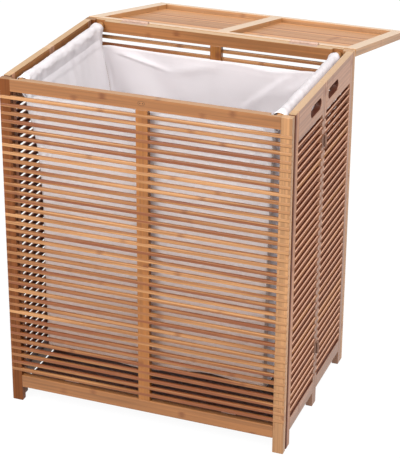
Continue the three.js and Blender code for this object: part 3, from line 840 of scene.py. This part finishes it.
def slatted_leaf(name):
    """The slats and seam stile of one leaf."""
    node = f"{name}_seam_stile_and_slats"
    low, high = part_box(node)
    corner_low, corner_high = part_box(f"{name}_corner_stile")
    slat_x, stile_x = layers(low.x, high.x, 1 if low.x > 0 else -1, LEAF_SLAT_DEPTH)
    if corner_low.y < low.y:
        slat_y = corner_high.y, high.y - SLAT_SHORT_OF_SEAM
        stile_y = high.y - SEAM_STILE_WIDTH, high.y
    else:
        slat_y = low.y + SLAT_SHORT_OF_SEAM, corner_low.y
        stile_y = low.y, low.y + SEAM_STILE_WIDTH
    slats_and_stile(
        f"{name}_slats_and_seam_stile", node, "bamboo_side_leaf", LEAF_SLAT_COUNT, leaf_rows(),
        (slat_x, slat_y, "leaf_slats"), (stile_x, stile_y, "leaf"),
    )


class HAMPER_OT_leaves(bpy.types.Operator):
    """Make the four folding side leaves"""
    bl_idname = "hamper.leaves"
    bl_label = "Side leaves"

    def execute(self, context):
        for side in ("left", "right"):
            for end, stile in (("front", "front_leaf"), ("rear", "leaf")):
                name = f"{side}_{end}_leaf"
                slatted_leaf(name)
                eased_copy(f"{name}_corner_stile", stile, "bamboo_side_leaf")
                for rail in ("bottom_rail", "grip_board"):
                    eased_copy(f"{name}_{rail}", f"{side}_leaf_rail", "bamboo_side_leaf")
        return {"FINISHED"}


# Lid

class HAMPER_OT_lid(bpy.types.Operator):
    """Make the lid's rails and boards"""
    bl_idname = "hamper.lid"
    bl_label = "Lid"

    def execute(self, context):
        for rail in ("lid_hinge_rail", "lid_front_rail"):
            eased_copy(rail, "lid_rail", "bamboo_lid")
        for rail in ("lid_left_side_rail", "lid_right_side_rail", "lid_centre_rail"):
            eased_copy(rail, "lid_side", "bamboo_lid")
        for side in ("left", "right"):
            eased_copy(f"lid_{side}_boards", "lid_board", "bamboo_lid", share=0.25)
        return {"FINISHED"}


# Base

class HAMPER_OT_base(bpy.types.Operator):
    """Make the base board and the ledge that carries it"""
    bl_idname = "hamper.base"
    bl_label = "Base"

    def execute(self, context):
        low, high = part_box("base_board")
        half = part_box("right_front_leaf_bottom_rail")[0].x - timber().base_margin
        board = block("base_board_panel", (-half, low.y, low.z), (half, high.y, high.z))
        ease(board, timber().easing)
        dress(board, "base", "base", "bamboo_base", "base_board")
        eased_copy("base_ledge", "base", "bamboo_base")
        return {"FINISHED"}


# Rods

class HAMPER_OT_rods(bpy.types.Operator):
    """Make the two round rods that carry the bag"""
    bl_idname = "hamper.rods"
    bl_label = "Rods"

    def execute(self, context):
        for side in ("left", "right"):
            node = f"{side}_rod"
            low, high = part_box(node)
            bpy.ops.mesh.primitive_cylinder_add(
                vertices=40, radius=ROD_RADIUS, depth=high.y - low.y, location=(low + high) / 2,
                rotation=(math.pi / 2, 0, 0),
            )
            rod = bpy.context.object
            rod.name = f"{side}_round_rod"
            bpy.ops.object.transform_apply()
            ease(rod, ROD_EASING)
            alone(rod)
            bpy.ops.object.shade_smooth_by_angle(angle=math.radians(30))
            dress(rod, "rod", "bag_and_rods", "bamboo_rod", node)
        return {"FINISHED"}


# Hinges

SCREW_RADIUS = 2.1 * MM
SCREW_PROUD = 0.45 * MM
SCREW_EASING = 0.15 * MM
SCREW_SLOT_HALF = (1.3 * MM, 0.28 * MM)
LID_SCREW_X = 17 * MM
LID_SCREW_Y = 4.6 * MM
PLATE_THICKNESS = 1 * MM
PLATE_EASING = 0.25 * MM
CORNER_PLATE_WIDTH = 6.4 * MM
CORNER_SCREW_FROM_END = 7 * MM
SEAM_PLATE_WIDTH = 7.4 * MM
SEAM_SCREW_SHARES = (0.28, 0.72)
# The base hinges take a paler steel, a painted glint
HINGE_STEELS = {"seam": "dull_steel", "corner": "dull_steel", "base": "glint_steel", "lid": "steel"}


def screw(place, facing):
    """A cross-slotted screw head whose face looks along a direction."""
    bpy.ops.mesh.primitive_cylinder_add(vertices=20, radius=SCREW_RADIUS, depth=SCREW_PROUD)
    head = bpy.context.object
    ease(head, SCREW_EASING)
    for x, y in (SCREW_SLOT_HALF, SCREW_SLOT_HALF[::-1]):
        slot = block("slot", (-x, -y, 0), (x, y, SCREW_PROUD * 2))
        modified(head, "BOOLEAN", operation="DIFFERENCE", object=slot, solver="EXACT")
        bpy.data.objects.remove(slot)
    turn = Vector(facing).to_track_quat("Z", "Y").to_matrix().to_4x4()
    head.matrix_world = Matrix.Translation(Vector(place)) @ turn
    alone(head)
    bpy.ops.object.transform_apply()
    return head


def plate(name, body, back, facing, y_span, z_span, screw_heights):
    """A flat hinge plate with its screws, on a face at x = back that looks right (1) or left."""
    face = back + facing * PLATE_THICKNESS
    low, high = (min(face, back), y_span[0], z_span[0]), (max(face, back), y_span[1], z_span[1])
    piece = block(name, low, high)
    ease(piece, PLATE_EASING)
    heads = [screw((face, sum(y_span) / 2, z), (facing, 0, 0)) for z in screw_heights]
    dress(join(name, [piece, *heads]), "dull_steel", body, "hinge_steel")


class HAMPER_OT_hinges(bpy.types.Operator):
    """Finish the hinges, and make their second plates and screws"""
    bl_idname = "hamper.hinges"
    bl_label = "Hinges"

    def execute(self, context):
        for node, solid in frame["nodes"].items():
            if "hinge" in node and "rail" not in node:
                steel = next(steel for kind, steel in HINGE_STEELS.items() if kind in node)
                solid.data.materials.clear()
                solid.data.materials.append(material(steel))
        for side, name in ((-1, "left"), (1, "right")):
            self.corner_plates(side, name)
            self.seam_plates(side, name)
            self.lid_screws(name)
        return {"FINISHED"}

    def corner_plates(self, side, name):
        """The plates on the side leaves, beside the barrels of the corner hinges."""
        for end in ("front", "rear"):
            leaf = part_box(f"{name}_{end}_leaf_corner_stile")
            inner = leaf[0].x if side > 0 else leaf[1].x
            for level in ("lower", "upper"):
                low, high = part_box(f"{end}_{name}_{level}_corner_hinge")
                if end == "front":
                    y_span = high.y, high.y + CORNER_PLATE_WIDTH
                else:
                    y_span = low.y - CORNER_PLATE_WIDTH, low.y
                plate(
                    f"{end}_{name}_{level}_corner_plate", f"{name}_{end}_leaf", inner, -side,
                    y_span, (low.z, high.z),
                    (low.z + CORNER_SCREW_FROM_END, high.z - CORNER_SCREW_FROM_END),
                )

    def seam_plates(self, side, name):
        """The plates on the front leaves, beside the barrels of the seam hinges."""
        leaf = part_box(f"{name}_front_leaf_seam_stile_and_slats")
        outer = leaf[1].x if side > 0 else leaf[0].x
        for level in ("lower", "upper"):
            low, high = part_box(f"{name}_{level}_seam_hinge")
            plate(
                f"{name}_{level}_seam_plate", f"{name}_front_leaf", outer, side,
                (low.y - SEAM_PLATE_WIDTH, low.y), (low.z, high.z),
                [low.z + share * (high.z - low.z) for share in SEAM_SCREW_SHARES],
            )

    def lid_screws(self, name):
        """The screws that hold a lid hinge to the rear top rail."""
        low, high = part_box(f"lid_{name}_hinge_fixed_leaf")
        middle, top = (low.x + high.x) / 2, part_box("rear_top_rail")[1].z
        heads = [
            screw((middle + x, low.y + LID_SCREW_Y, top), UP) for x in (-LID_SCREW_X, LID_SCREW_X)
        ]
        piece = join(f"lid_{name}_hinge_fixed_screws", heads)
        dress(piece, "steel", "rear_panel", "hinge_steel")


# Bag

BAG_TOP_HALF_X = 213.85 * MM
BAG_LEFT_FOOT = 191 * MM
BAG_RIGHT_FOOT = 208 * MM
BAG_TOP_HALF_Y = 154 * MM
BAG_BOTTOM_HALF_Y = 149 * MM
BAG_CENTRE_Y = -175.958 * MM
BAG_FLOOR_Z = 104 * MM
BAG_CORNER = 9 * MM
REAR_RIM_Z = 559 * MM
FRONT_RIM_Z = 570 * MM
ROD_X = 221.5 * MM
ROD_Z = 588.05 * MM
WALLS = ("front", "right", "rear", "left")
WALL_COLUMNS = (92, 48, 132, 56)
CORNER_COLUMNS = 6
COLUMN_WIDTH = 2.4 * MM
SEAM_REACH_COLUMNS = 8
NO_SEAM = 50 * MM
BAG_ROWS = 84
HEM_ROWS = 3
BAG_FLOOR_RINGS = 22
BAG_FLOOR_SAG = 5 * MM
SLEEVE_ROWS = 150
SLEEVE_STRAIGHT_STEPS = 12
SLEEVE_ROUND_STEPS = 18
SLEEVE_MOUTH = 14 * MM
SLEEVE_GAPS = (4 * MM, 1 * MM)
WALL_BELOW_ROD = 3 * MM

# How far the seams and the hem stand out, in millimetres
SEAM_OUT = 1.3
HEM_OUT = 0.5

# Each crease stands out by so many millimetres, along a line from one (x, z) to another, and
# fades over its width above the line and, where that differs, its width under it.
REAR_CREASES = (
    (-2.8, (-0.196, 0.550), (-0.084, 0.523), 0.0045, 0.0024),
    (2.2, (-0.196, 0.565), (-0.070, 0.532), 0.016),
    (-2.2, (-0.190, 0.520), (-0.095, 0.400), 0.020),
    (2.4, (-0.150, 0.540), (-0.030, 0.430), 0.022),
    (-2.2, (-0.085, 0.523), (0.010, 0.546), 0.010),
    (-2.6, (0.205, 0.552), (0.110, 0.500), 0.010),
    (-3.2, (0.190, 0.540), (0.060, 0.330), 0.022),
    (2.4, (0.120, 0.540), (0.000, 0.380), 0.024),
    (-3.4, (0.150, 0.552), (0.050, 0.468), 0.012, 0.006),
)
FRONT_CREASES = (
    (4.0, (0.198, 0.560), (0.155, 0.466), 0.0045),
    (3.0, (0.205, 0.300), (0.120, 0.150), 0.014),
    (3.0, (-0.188, 0.270), (-0.120, 0.130), 0.014),
    (-2.6, (-0.060, 0.220), (0.040, 0.130), 0.020),
    (3.6, (-0.198, 0.560), (-0.170, 0.380), 0.0045),
    (2.6, (-0.180, 0.565), (-0.158, 0.430), 0.004),
)


def smooth(low, high, value):
    share = min(max((value - low) / (high - low), 0), 1)
    return share * share * (3 - 2 * share)


def near_line(x, z, start, end):
    """The distance from a line between two points, its sign, and the share of the way along."""
    along = Vector((end[0] - start[0], end[1] - start[1]))
    offset = Vector((x - start[0], z - start[1]))
    share = min(max(offset.dot(along) / along.length_squared, 0), 1)
    apart = (offset - along * share).length
    return math.copysign(apart, along.x * offset.y - along.y * offset.x), share


def crease(x, z, start, end, above, under=None):
    """A fold along a line: 1 on it, fading to its widths above and under it and at its ends."""
    apart, share = near_line(x, z, start, end)
    width = above if apart > 0 or under is None else under
    return math.exp(-(apart / width) ** 2) * math.sin(math.pi * min(max(share, 0.04), 0.96)) ** 0.5


def creased(x, z, creases):
    return sum(height * crease(x, z, *line) for height, *line in creases)


def hang(x, y, z):
    """A soft unevenness that every part of the hanging cloth shares."""
    return noise.fractal(Vector((x * 8, y * 8, z * 3.4)), 1.0, 2.0, 3)


def side_push(y, z):
    """Gathers below a rod, fading downwards."""
    below = max(0, ROD_Z - bag_settings().sleeve_depth - z)
    gathers = noise.noise(Vector((y * 46, 3.1, z * 5))) * math.exp(-below / 0.09) * 3.6
    return gathers + noise.noise(Vector((y * 14, 8.7, z * 5))) * 2.6


def wall_push(wall, x, y, z, down):
    """How far the cloth of one wall stands out from its plain shape, in millimetres."""
    bag = bag_settings()
    loose = smooth(0, 0.1, down) * (1 - smooth(0.93, 1.0, down)) * 0.85 + 0.15
    push = hang(x, y, z) * bag.fold_depth / MM * loose
    if wall == "rear":
        push += creased(x, z, REAR_CREASES)
    elif wall == "front":
        push += creased(x, z, FRONT_CREASES)
    elif wall in ("left", "right"):
        inside_sleeve = max(0, z - ROD_Z + bag.sleeve_depth)
        push += side_push(y, z) - smooth(0, 5 * MM, inside_sleeve)
        push += 3.2 * smooth(0.25, 1.0, inside_sleeve / bag.sleeve_depth)
    return push


def foot_height(x):
    """The lower edge: low in the middle, where the load has pulled it, and lifted by a fold."""
    low = 8 * MM * math.exp(-((x + 0.015) / 0.055) ** 2)
    return BAG_FLOOR_Z - low + 8 * MM * math.exp(-((x - 0.110) / 0.050) ** 2)


def bag_ring(down):
    """The cloth's outline at one level: for each column its wall, place and outward direction."""
    left = BAG_LEFT_FOOT + (BAG_TOP_HALF_X - BAG_LEFT_FOOT) * (1 - down) ** 6
    right = BAG_RIGHT_FOOT + (BAG_TOP_HALF_X - BAG_RIGHT_FOOT) * (1 - down) ** 2
    deep = BAG_TOP_HALF_Y + (BAG_BOTTOM_HALF_Y - BAG_TOP_HALF_Y) * down
    corners = [Vector(place) for place in (
        (-left, -deep), (right, -deep), (right, deep), (-left, deep), (-left, -deep),
    )]
    ring = []
    for number, columns in enumerate(WALL_COLUMNS):
        start, end = corners[number:number + 2]
        forward = (end - start).normalized()
        outward = Vector((forward.y, -forward.x))
        start, end = start + forward * BAG_CORNER, end - forward * BAG_CORNER
        for column in range(columns):
            ring.append((WALLS[number], start.lerp(end, column / columns), outward))
        centre = end - outward * BAG_CORNER
        for column in range(CORNER_COLUMNS):
            angle = column / CORNER_COLUMNS * math.pi / 2
            turned = outward * math.cos(angle) + forward * math.sin(angle)
            kind = "seam" if column == CORNER_COLUMNS // 2 else "corner"
            ring.append((kind, centre + turned * BAG_CORNER, turned))
    return ring


def rim_height(x, y):
    """Level with the sleeves' seams at the corners; the rear rim sags, most on the right."""
    seam = ROD_Z - bag_settings().sleeve_depth
    front = smooth(0.10, 0.15, -y)
    middle = smooth(1.0, 0.9, abs(x) / BAG_TOP_HALF_X)
    wave = 1.6 * MM * noise.noise(Vector((x * 13, y * 9, 0.4)))
    slack = 3.6 * (1 - (x / 0.2) ** 2) + 6.4 * math.exp(-((x - 0.112) / 0.042) ** 2)
    level = (REAR_RIM_Z - slack * MM) * (1 - front) + FRONT_RIM_Z * front + wave
    return seam + (level - seam) * middle


def cloth_mesh(name, points, faces, marks):
    """A mesh of cloth that keeps, at each point, how far it is from its seam and along it."""
    mesh = bpy.data.meshes.new(name)
    mesh.from_pydata(points, [], faces)
    for index, kept in enumerate(("seam_across", "seam_walk")):
        layer = mesh.attributes.new(kept, "FLOAT", "POINT")
        layer.data.foreach_set("value", [mark[index] for mark in marks])
    piece = placed(name, mesh)
    edit(piece)
    bpy.ops.mesh.select_all(action="SELECT")
    bpy.ops.mesh.normals_make_consistent(inside=False)
    bpy.ops.mesh.faces_shade_smooth()
    done()
    modified(piece, "SOLIDIFY", thickness=bag_settings().thickness, offset=0)
    return piece


def tube_faces(rings, columns):
    """The faces between rings of points, one after another, each closed on itself."""
    for row in range(rings - 1):
        for column in range(columns):
            a, b = row * columns + column, row * columns + (column + 1) % columns
            yield a, a + columns, b + columns, b


def bag_walls(seams, columns):
    """The points of the walls from the rim down, and their marks for the seams at the corners."""
    bag = bag_settings()
    for row in range(BAG_ROWS + 1):
        hem_share = min(row / HEM_ROWS, 1)
        down = (max(row - HEM_ROWS, 0) / (BAG_ROWS - HEM_ROWS)) ** 1.5
        for column, (wall, place, outward) in enumerate(bag_ring(down)):
            x, y = place
            top, foot = rim_height(x, y), foot_height(x)
            if wall in ("left", "right"):
                top += (bag.sleeve_depth - WALL_BELOW_ROD) * smooth(0.145, 0.139, abs(y))
            z = top - bag.hem * hem_share
            z += (foot - z) * down
            from_seam = min(min(abs(column - at), columns - abs(column - at)) for at in seams)
            push = wall_push(wall, x, y, z, down)
            push += SEAM_OUT if from_seam == 0 else 0
            push += HEM_OUT if row < HEM_ROWS else 0
            out = outward * push * MM
            across = from_seam * COLUMN_WIDTH if from_seam < SEAM_REACH_COLUMNS else NO_SEAM
            yield (x + out.x, BAG_CENTRE_Y + y + out.y, z), (across, z)


def bag_floor():
    """The points of the sagging floor, ring by ring from its edge to its middle."""
    for level in range(1, BAG_FLOOR_RINGS + 1):
        inwards = level / BAG_FLOOR_RINGS
        for _, edge, _ in bag_ring(1.0):
            x, y = edge * (1 - inwards * 0.995)
            sag = BAG_FLOOR_SAG * math.sin(inwards * math.pi / 2)
            lift = (foot_height(edge.x) - BAG_FLOOR_Z) * (1 - inwards)
            crumple = hang(x, y, 1.7) * 3 * MM * math.sin(inwards * math.pi)
            yield (x, BAG_CENTRE_Y + y, BAG_FLOOR_Z + lift - sag + crumple), (NO_SEAM, 0)


def bag_mesh():
    ring = bag_ring(0)
    columns = len(ring)
    seams = [column for column, (wall, _, _) in enumerate(ring) if wall == "seam"]
    points, marks = zip(*bag_walls(seams, columns), *bag_floor())
    faces = list(tube_faces(BAG_ROWS + 1 + BAG_FLOOR_RINGS, columns))
    faces.append(tuple(range(len(points) - 1, len(points) - 1 - columns, -1)))
    return cloth_mesh("bag_cloth", points, faces, marks)


def sleeve_outline(y, mouth):
    """A sleeve's smooth outline, up its inner side, over the rod and down: each point's place as
    (outward, up) from the rod's axis, its outward direction and how slack the cloth is there."""
    round_rod = ROD_RADIUS + 1.5 * MM + mouth * 0.9 * MM
    foot = Vector((BAG_TOP_HALF_X - ROD_X, -bag_settings().sleeve_depth))
    shares = [step / SLEEVE_STRAIGHT_STEPS for step in range(SLEEVE_STRAIGHT_STEPS)]
    for share in shares:
        place = foot.lerp(Vector((-round_rod, 0)), share)
        place.x += (side_push(y - BAG_CENTRE_Y, ROD_Z + place.y) + 0.4) * (1 - share) ** 0.5 * MM
        yield place, Vector((-1, 0)), 0.42 * share ** 3
    for step in range(SLEEVE_ROUND_STEPS):
        angle = math.pi * (1 - step / SLEEVE_ROUND_STEPS)
        outward = Vector((math.cos(angle), math.sin(angle)))
        yield outward * round_rod, outward, 0.42
    for share in shares:
        place = Vector((round_rod, 0)).lerp(foot, share)
        yield place, Vector((1, -0.4)).normalized(), 0.5 * math.sin(share * math.pi)


def sleeve_ring(y, low_y, high_y):
    """A sleeve's crumpled outline at one place along its rod."""
    mouth = math.exp(-min(y - low_y, high_y - y) / SLEEVE_MOUTH)
    outline = list(sleeve_outline(y, mouth))
    for number, (place, outward, slack) in enumerate(outline):
        around = number / len(outline) * 5
        inner = smooth(SLEEVE_STRAIGHT_STEPS + 6, SLEEVE_STRAIGHT_STEPS, number)
        fine = noise.noise(Vector((y * 75, around * 1.6, 2.2)))
        broad = noise.noise(Vector((y * 24, around * 0.6, 5.2)))
        push = fine * (2.2 + 3.0 * inner + 7.8 * mouth) + broad * (1.8 + 3.0 * inner + 7.0 * mouth)
        yield place + outward * (push + 0.6) * slack * MM


def make_sleeve(side, name):
    """A sleeve that hangs over one rod and is sewn to the wall below it."""
    low_y = BAG_CENTRE_Y - BAG_TOP_HALF_Y + SLEEVE_GAPS[0]
    high_y = BAG_CENTRE_Y + BAG_TOP_HALF_Y - SLEEVE_GAPS[1]
    points, marks = [], []
    for row in range(SLEEVE_ROWS + 1):
        share = row / SLEEVE_ROWS
        y = low_y + (high_y - low_y) * share
        ends = abs(2 * share - 1) ** 6
        for column, place in enumerate(sleeve_ring(y, low_y, high_y)):
            skew = 1.5 * MM * noise.noise(Vector((column * 0.35, side * 3.3, share * 2)))
            points.append((side * (ROD_X + place.x), y + skew * ends, ROD_Z + place.y))
            marks.append((NO_SEAM, y))
    faces = list(tube_faces(SLEEVE_ROWS + 1, 2 * SLEEVE_STRAIGHT_STEPS + SLEEVE_ROUND_STEPS))
    piece = cloth_mesh(f"{name}_bag_sleeve", points, faces, marks)
    return dress(piece, "cotton", "bag_and_rods", "bag_cotton")


class HAMPER_OT_bag(bpy.types.Operator):
    """Make the cloth bag with its sleeves, hem and folds"""
    bl_idname = "hamper.bag"
    bl_label = "Cloth bag"

    def execute(self, context):
        piece = dress(bag_mesh(), "cotton", "bag_and_rods", "bag_cotton", "bag")
        sleeves = [make_sleeve(side, name) for side, name in ((-1, "left"), (1, "right"))]
        return {"FINISHED"}


# Stage

CAMERA_PLACE = Vector((0.94435, -2.59328, 1.50595))
CAMERA_TURN = math.radians(20.638)
CAMERA_BELOW_LEVEL = math.radians(23.288)
CAMERA_ROLL = math.radians(0.333)
CAMERA_LENS = 129.543
CAMERA_SHIFT_Y = -0.107
BACKDROP_STRENGTH = 1.2
FLOOR_STRENGTH = 1.08
LAMPS_AIM = (0, -0.15, 0.35)


def light(kind, name, strength, place, aim):
    lamp = bpy.data.lights.new(name, kind)
    lamp.energy = strength
    holder = placed(name, lamp)
    holder.location = place
    holder.rotation_mode = "QUATERNION"
    holder.rotation_quaternion = (Vector(aim) - Vector(place)).to_track_quat("-Z", "Y")
    return lamp


def soft_lamp(name, place, size, watts):
    lamp = light("AREA", name, watts, place, LAMPS_AIM)
    lamp.shape = "DISK"
    lamp.size = size


def white_to_the_eye(finish, share):
    """Mixes a share of plain white into what the camera and mirrors see of a floor."""
    seen = finish.seen_directly("Is Camera Ray", "Is Glossy Ray", "Is Transmission Ray")
    white = finish.add("ShaderNodeEmission", Strength=FLOOR_STRENGTH)
    finish.mix_in(white, finish.math("MULTIPLY", seen, share))


def white_room(stage):
    """Light from all round, seen as plain white by the camera and in glossy surfaces."""
    world = bpy.data.worlds.new("studio_room")
    room = Nodes(world)
    shown = room.add("ShaderNodeBackground", Color=(1, 1, 1, 1), Strength=stage.sky)
    for ray, strength in (("Is Glossy Ray", stage.mirrored), ("Is Camera Ray", BACKDROP_STRENGTH)):
        white = room.add("ShaderNodeBackground", Color=(1, 1, 1, 1), Strength=strength)
        shown = room.add(
            "ShaderNodeMixShader", _0=room.seen_directly(ray), _1=shown.outputs[0],
            _2=white.outputs[0],
        )
    room.add("ShaderNodeOutputWorld", Surface=shown.outputs[0])
    return world


class HAMPER_OT_stage(bpy.types.Operator):
    """Make the floor, the soft lamps, the room's light and the camera"""
    bl_idname = "hamper.stage"
    bl_label = "Stage"

    def execute(self, context):
        stage = context.scene.hamper_stage
        bpy.ops.mesh.primitive_plane_add(size=40, location=(0, 0, 0))
        floor = context.object
        floor.name = "studio_floor"
        finish = Finish("studio_white", Roughness=0.95, Base_Color=(*stage.floor, 1))
        white_to_the_eye(finish, stage.whiteness)
        floor.data.materials.append(finish.material)
        context.scene.world = white_room(stage)

        soft_lamp("key_lamp", (-0.6, -1.95, 1.45), 1.2, stage.key_watts)
        soft_lamp("fill_lamp", (2.2, -1.1, 1.5), 1.4, stage.fill_watts)
        sun = light("SUN", "top_light", stage.top_light, (0.5, -0.35, 1), (0, 0, 0))
        sun.angle = math.radians(50)

        view = bpy.data.cameras.new("camera")
        view.lens = CAMERA_LENS
        view.shift_y = CAMERA_SHIFT_Y
        camera = placed("camera", view)
        camera.matrix_world = (
            Matrix.Translation(CAMERA_PLACE) @ Matrix.Rotation(CAMERA_TURN, 4, "Z")
            @ Matrix.Rotation(math.pi / 2 - CAMERA_BELOW_LEVEL, 4, "X")
            @ Matrix.Rotation(CAMERA_ROLL, 4, "Z")
        )
        context.scene.camera = camera
        context.scene.view_settings.view_transform = "Standard"
        return {"FINISHED"}


class HAMPER_PT_pieces(bpy.types.Panel):
    """Lists the operators that make the hamper"""
    bl_idname = "HAMPER_PT_pieces"
    bl_label = "Folding hamper"
    bl_space_type = "VIEW_3D"
    bl_region_type = "UI"
    bl_category = "Hamper"

    def draw(self, context):
        for operator in OPERATORS:
            self.layout.operator(operator.bl_idname)
        scene = context.scene
        for group in (scene.hamper_timber, scene.hamper_bag, scene.hamper_stage):
            for name in group.__annotations__:
                self.layout.prop(group, name)


OPERATORS = (
    HAMPER_OT_panels, HAMPER_OT_leaves, HAMPER_OT_lid, HAMPER_OT_base, HAMPER_OT_rods,
    HAMPER_OT_hinges, HAMPER_OT_bag, HAMPER_OT_stage,
)
CLASSES = (TimberSettings, BagSettings, StageSettings, *OPERATORS, HAMPER_PT_pieces)


def register():
    for part in CLASSES:
        bpy.utils.register_class(part)
    bpy.types.Scene.hamper_timber = bpy.props.PointerProperty(type=TimberSettings)
    bpy.types.Scene.hamper_bag = bpy.props.PointerProperty(type=BagSettings)
    bpy.types.Scene.hamper_stage = bpy.props.PointerProperty(type=StageSettings)


def unregister():
    del bpy.types.Scene.hamper_stage
    del bpy.types.Scene.hamper_bag
    del bpy.types.Scene.hamper_timber
    for part in reversed(CLASSES):
        bpy.utils.unregister_class(part)


def main():
    register()
    for operator in OPERATORS:
        group, name = operator.bl_idname.split(".")
        getattr(getattr(bpy.ops, group), name)()


if __name__ == "__main__":
    main()
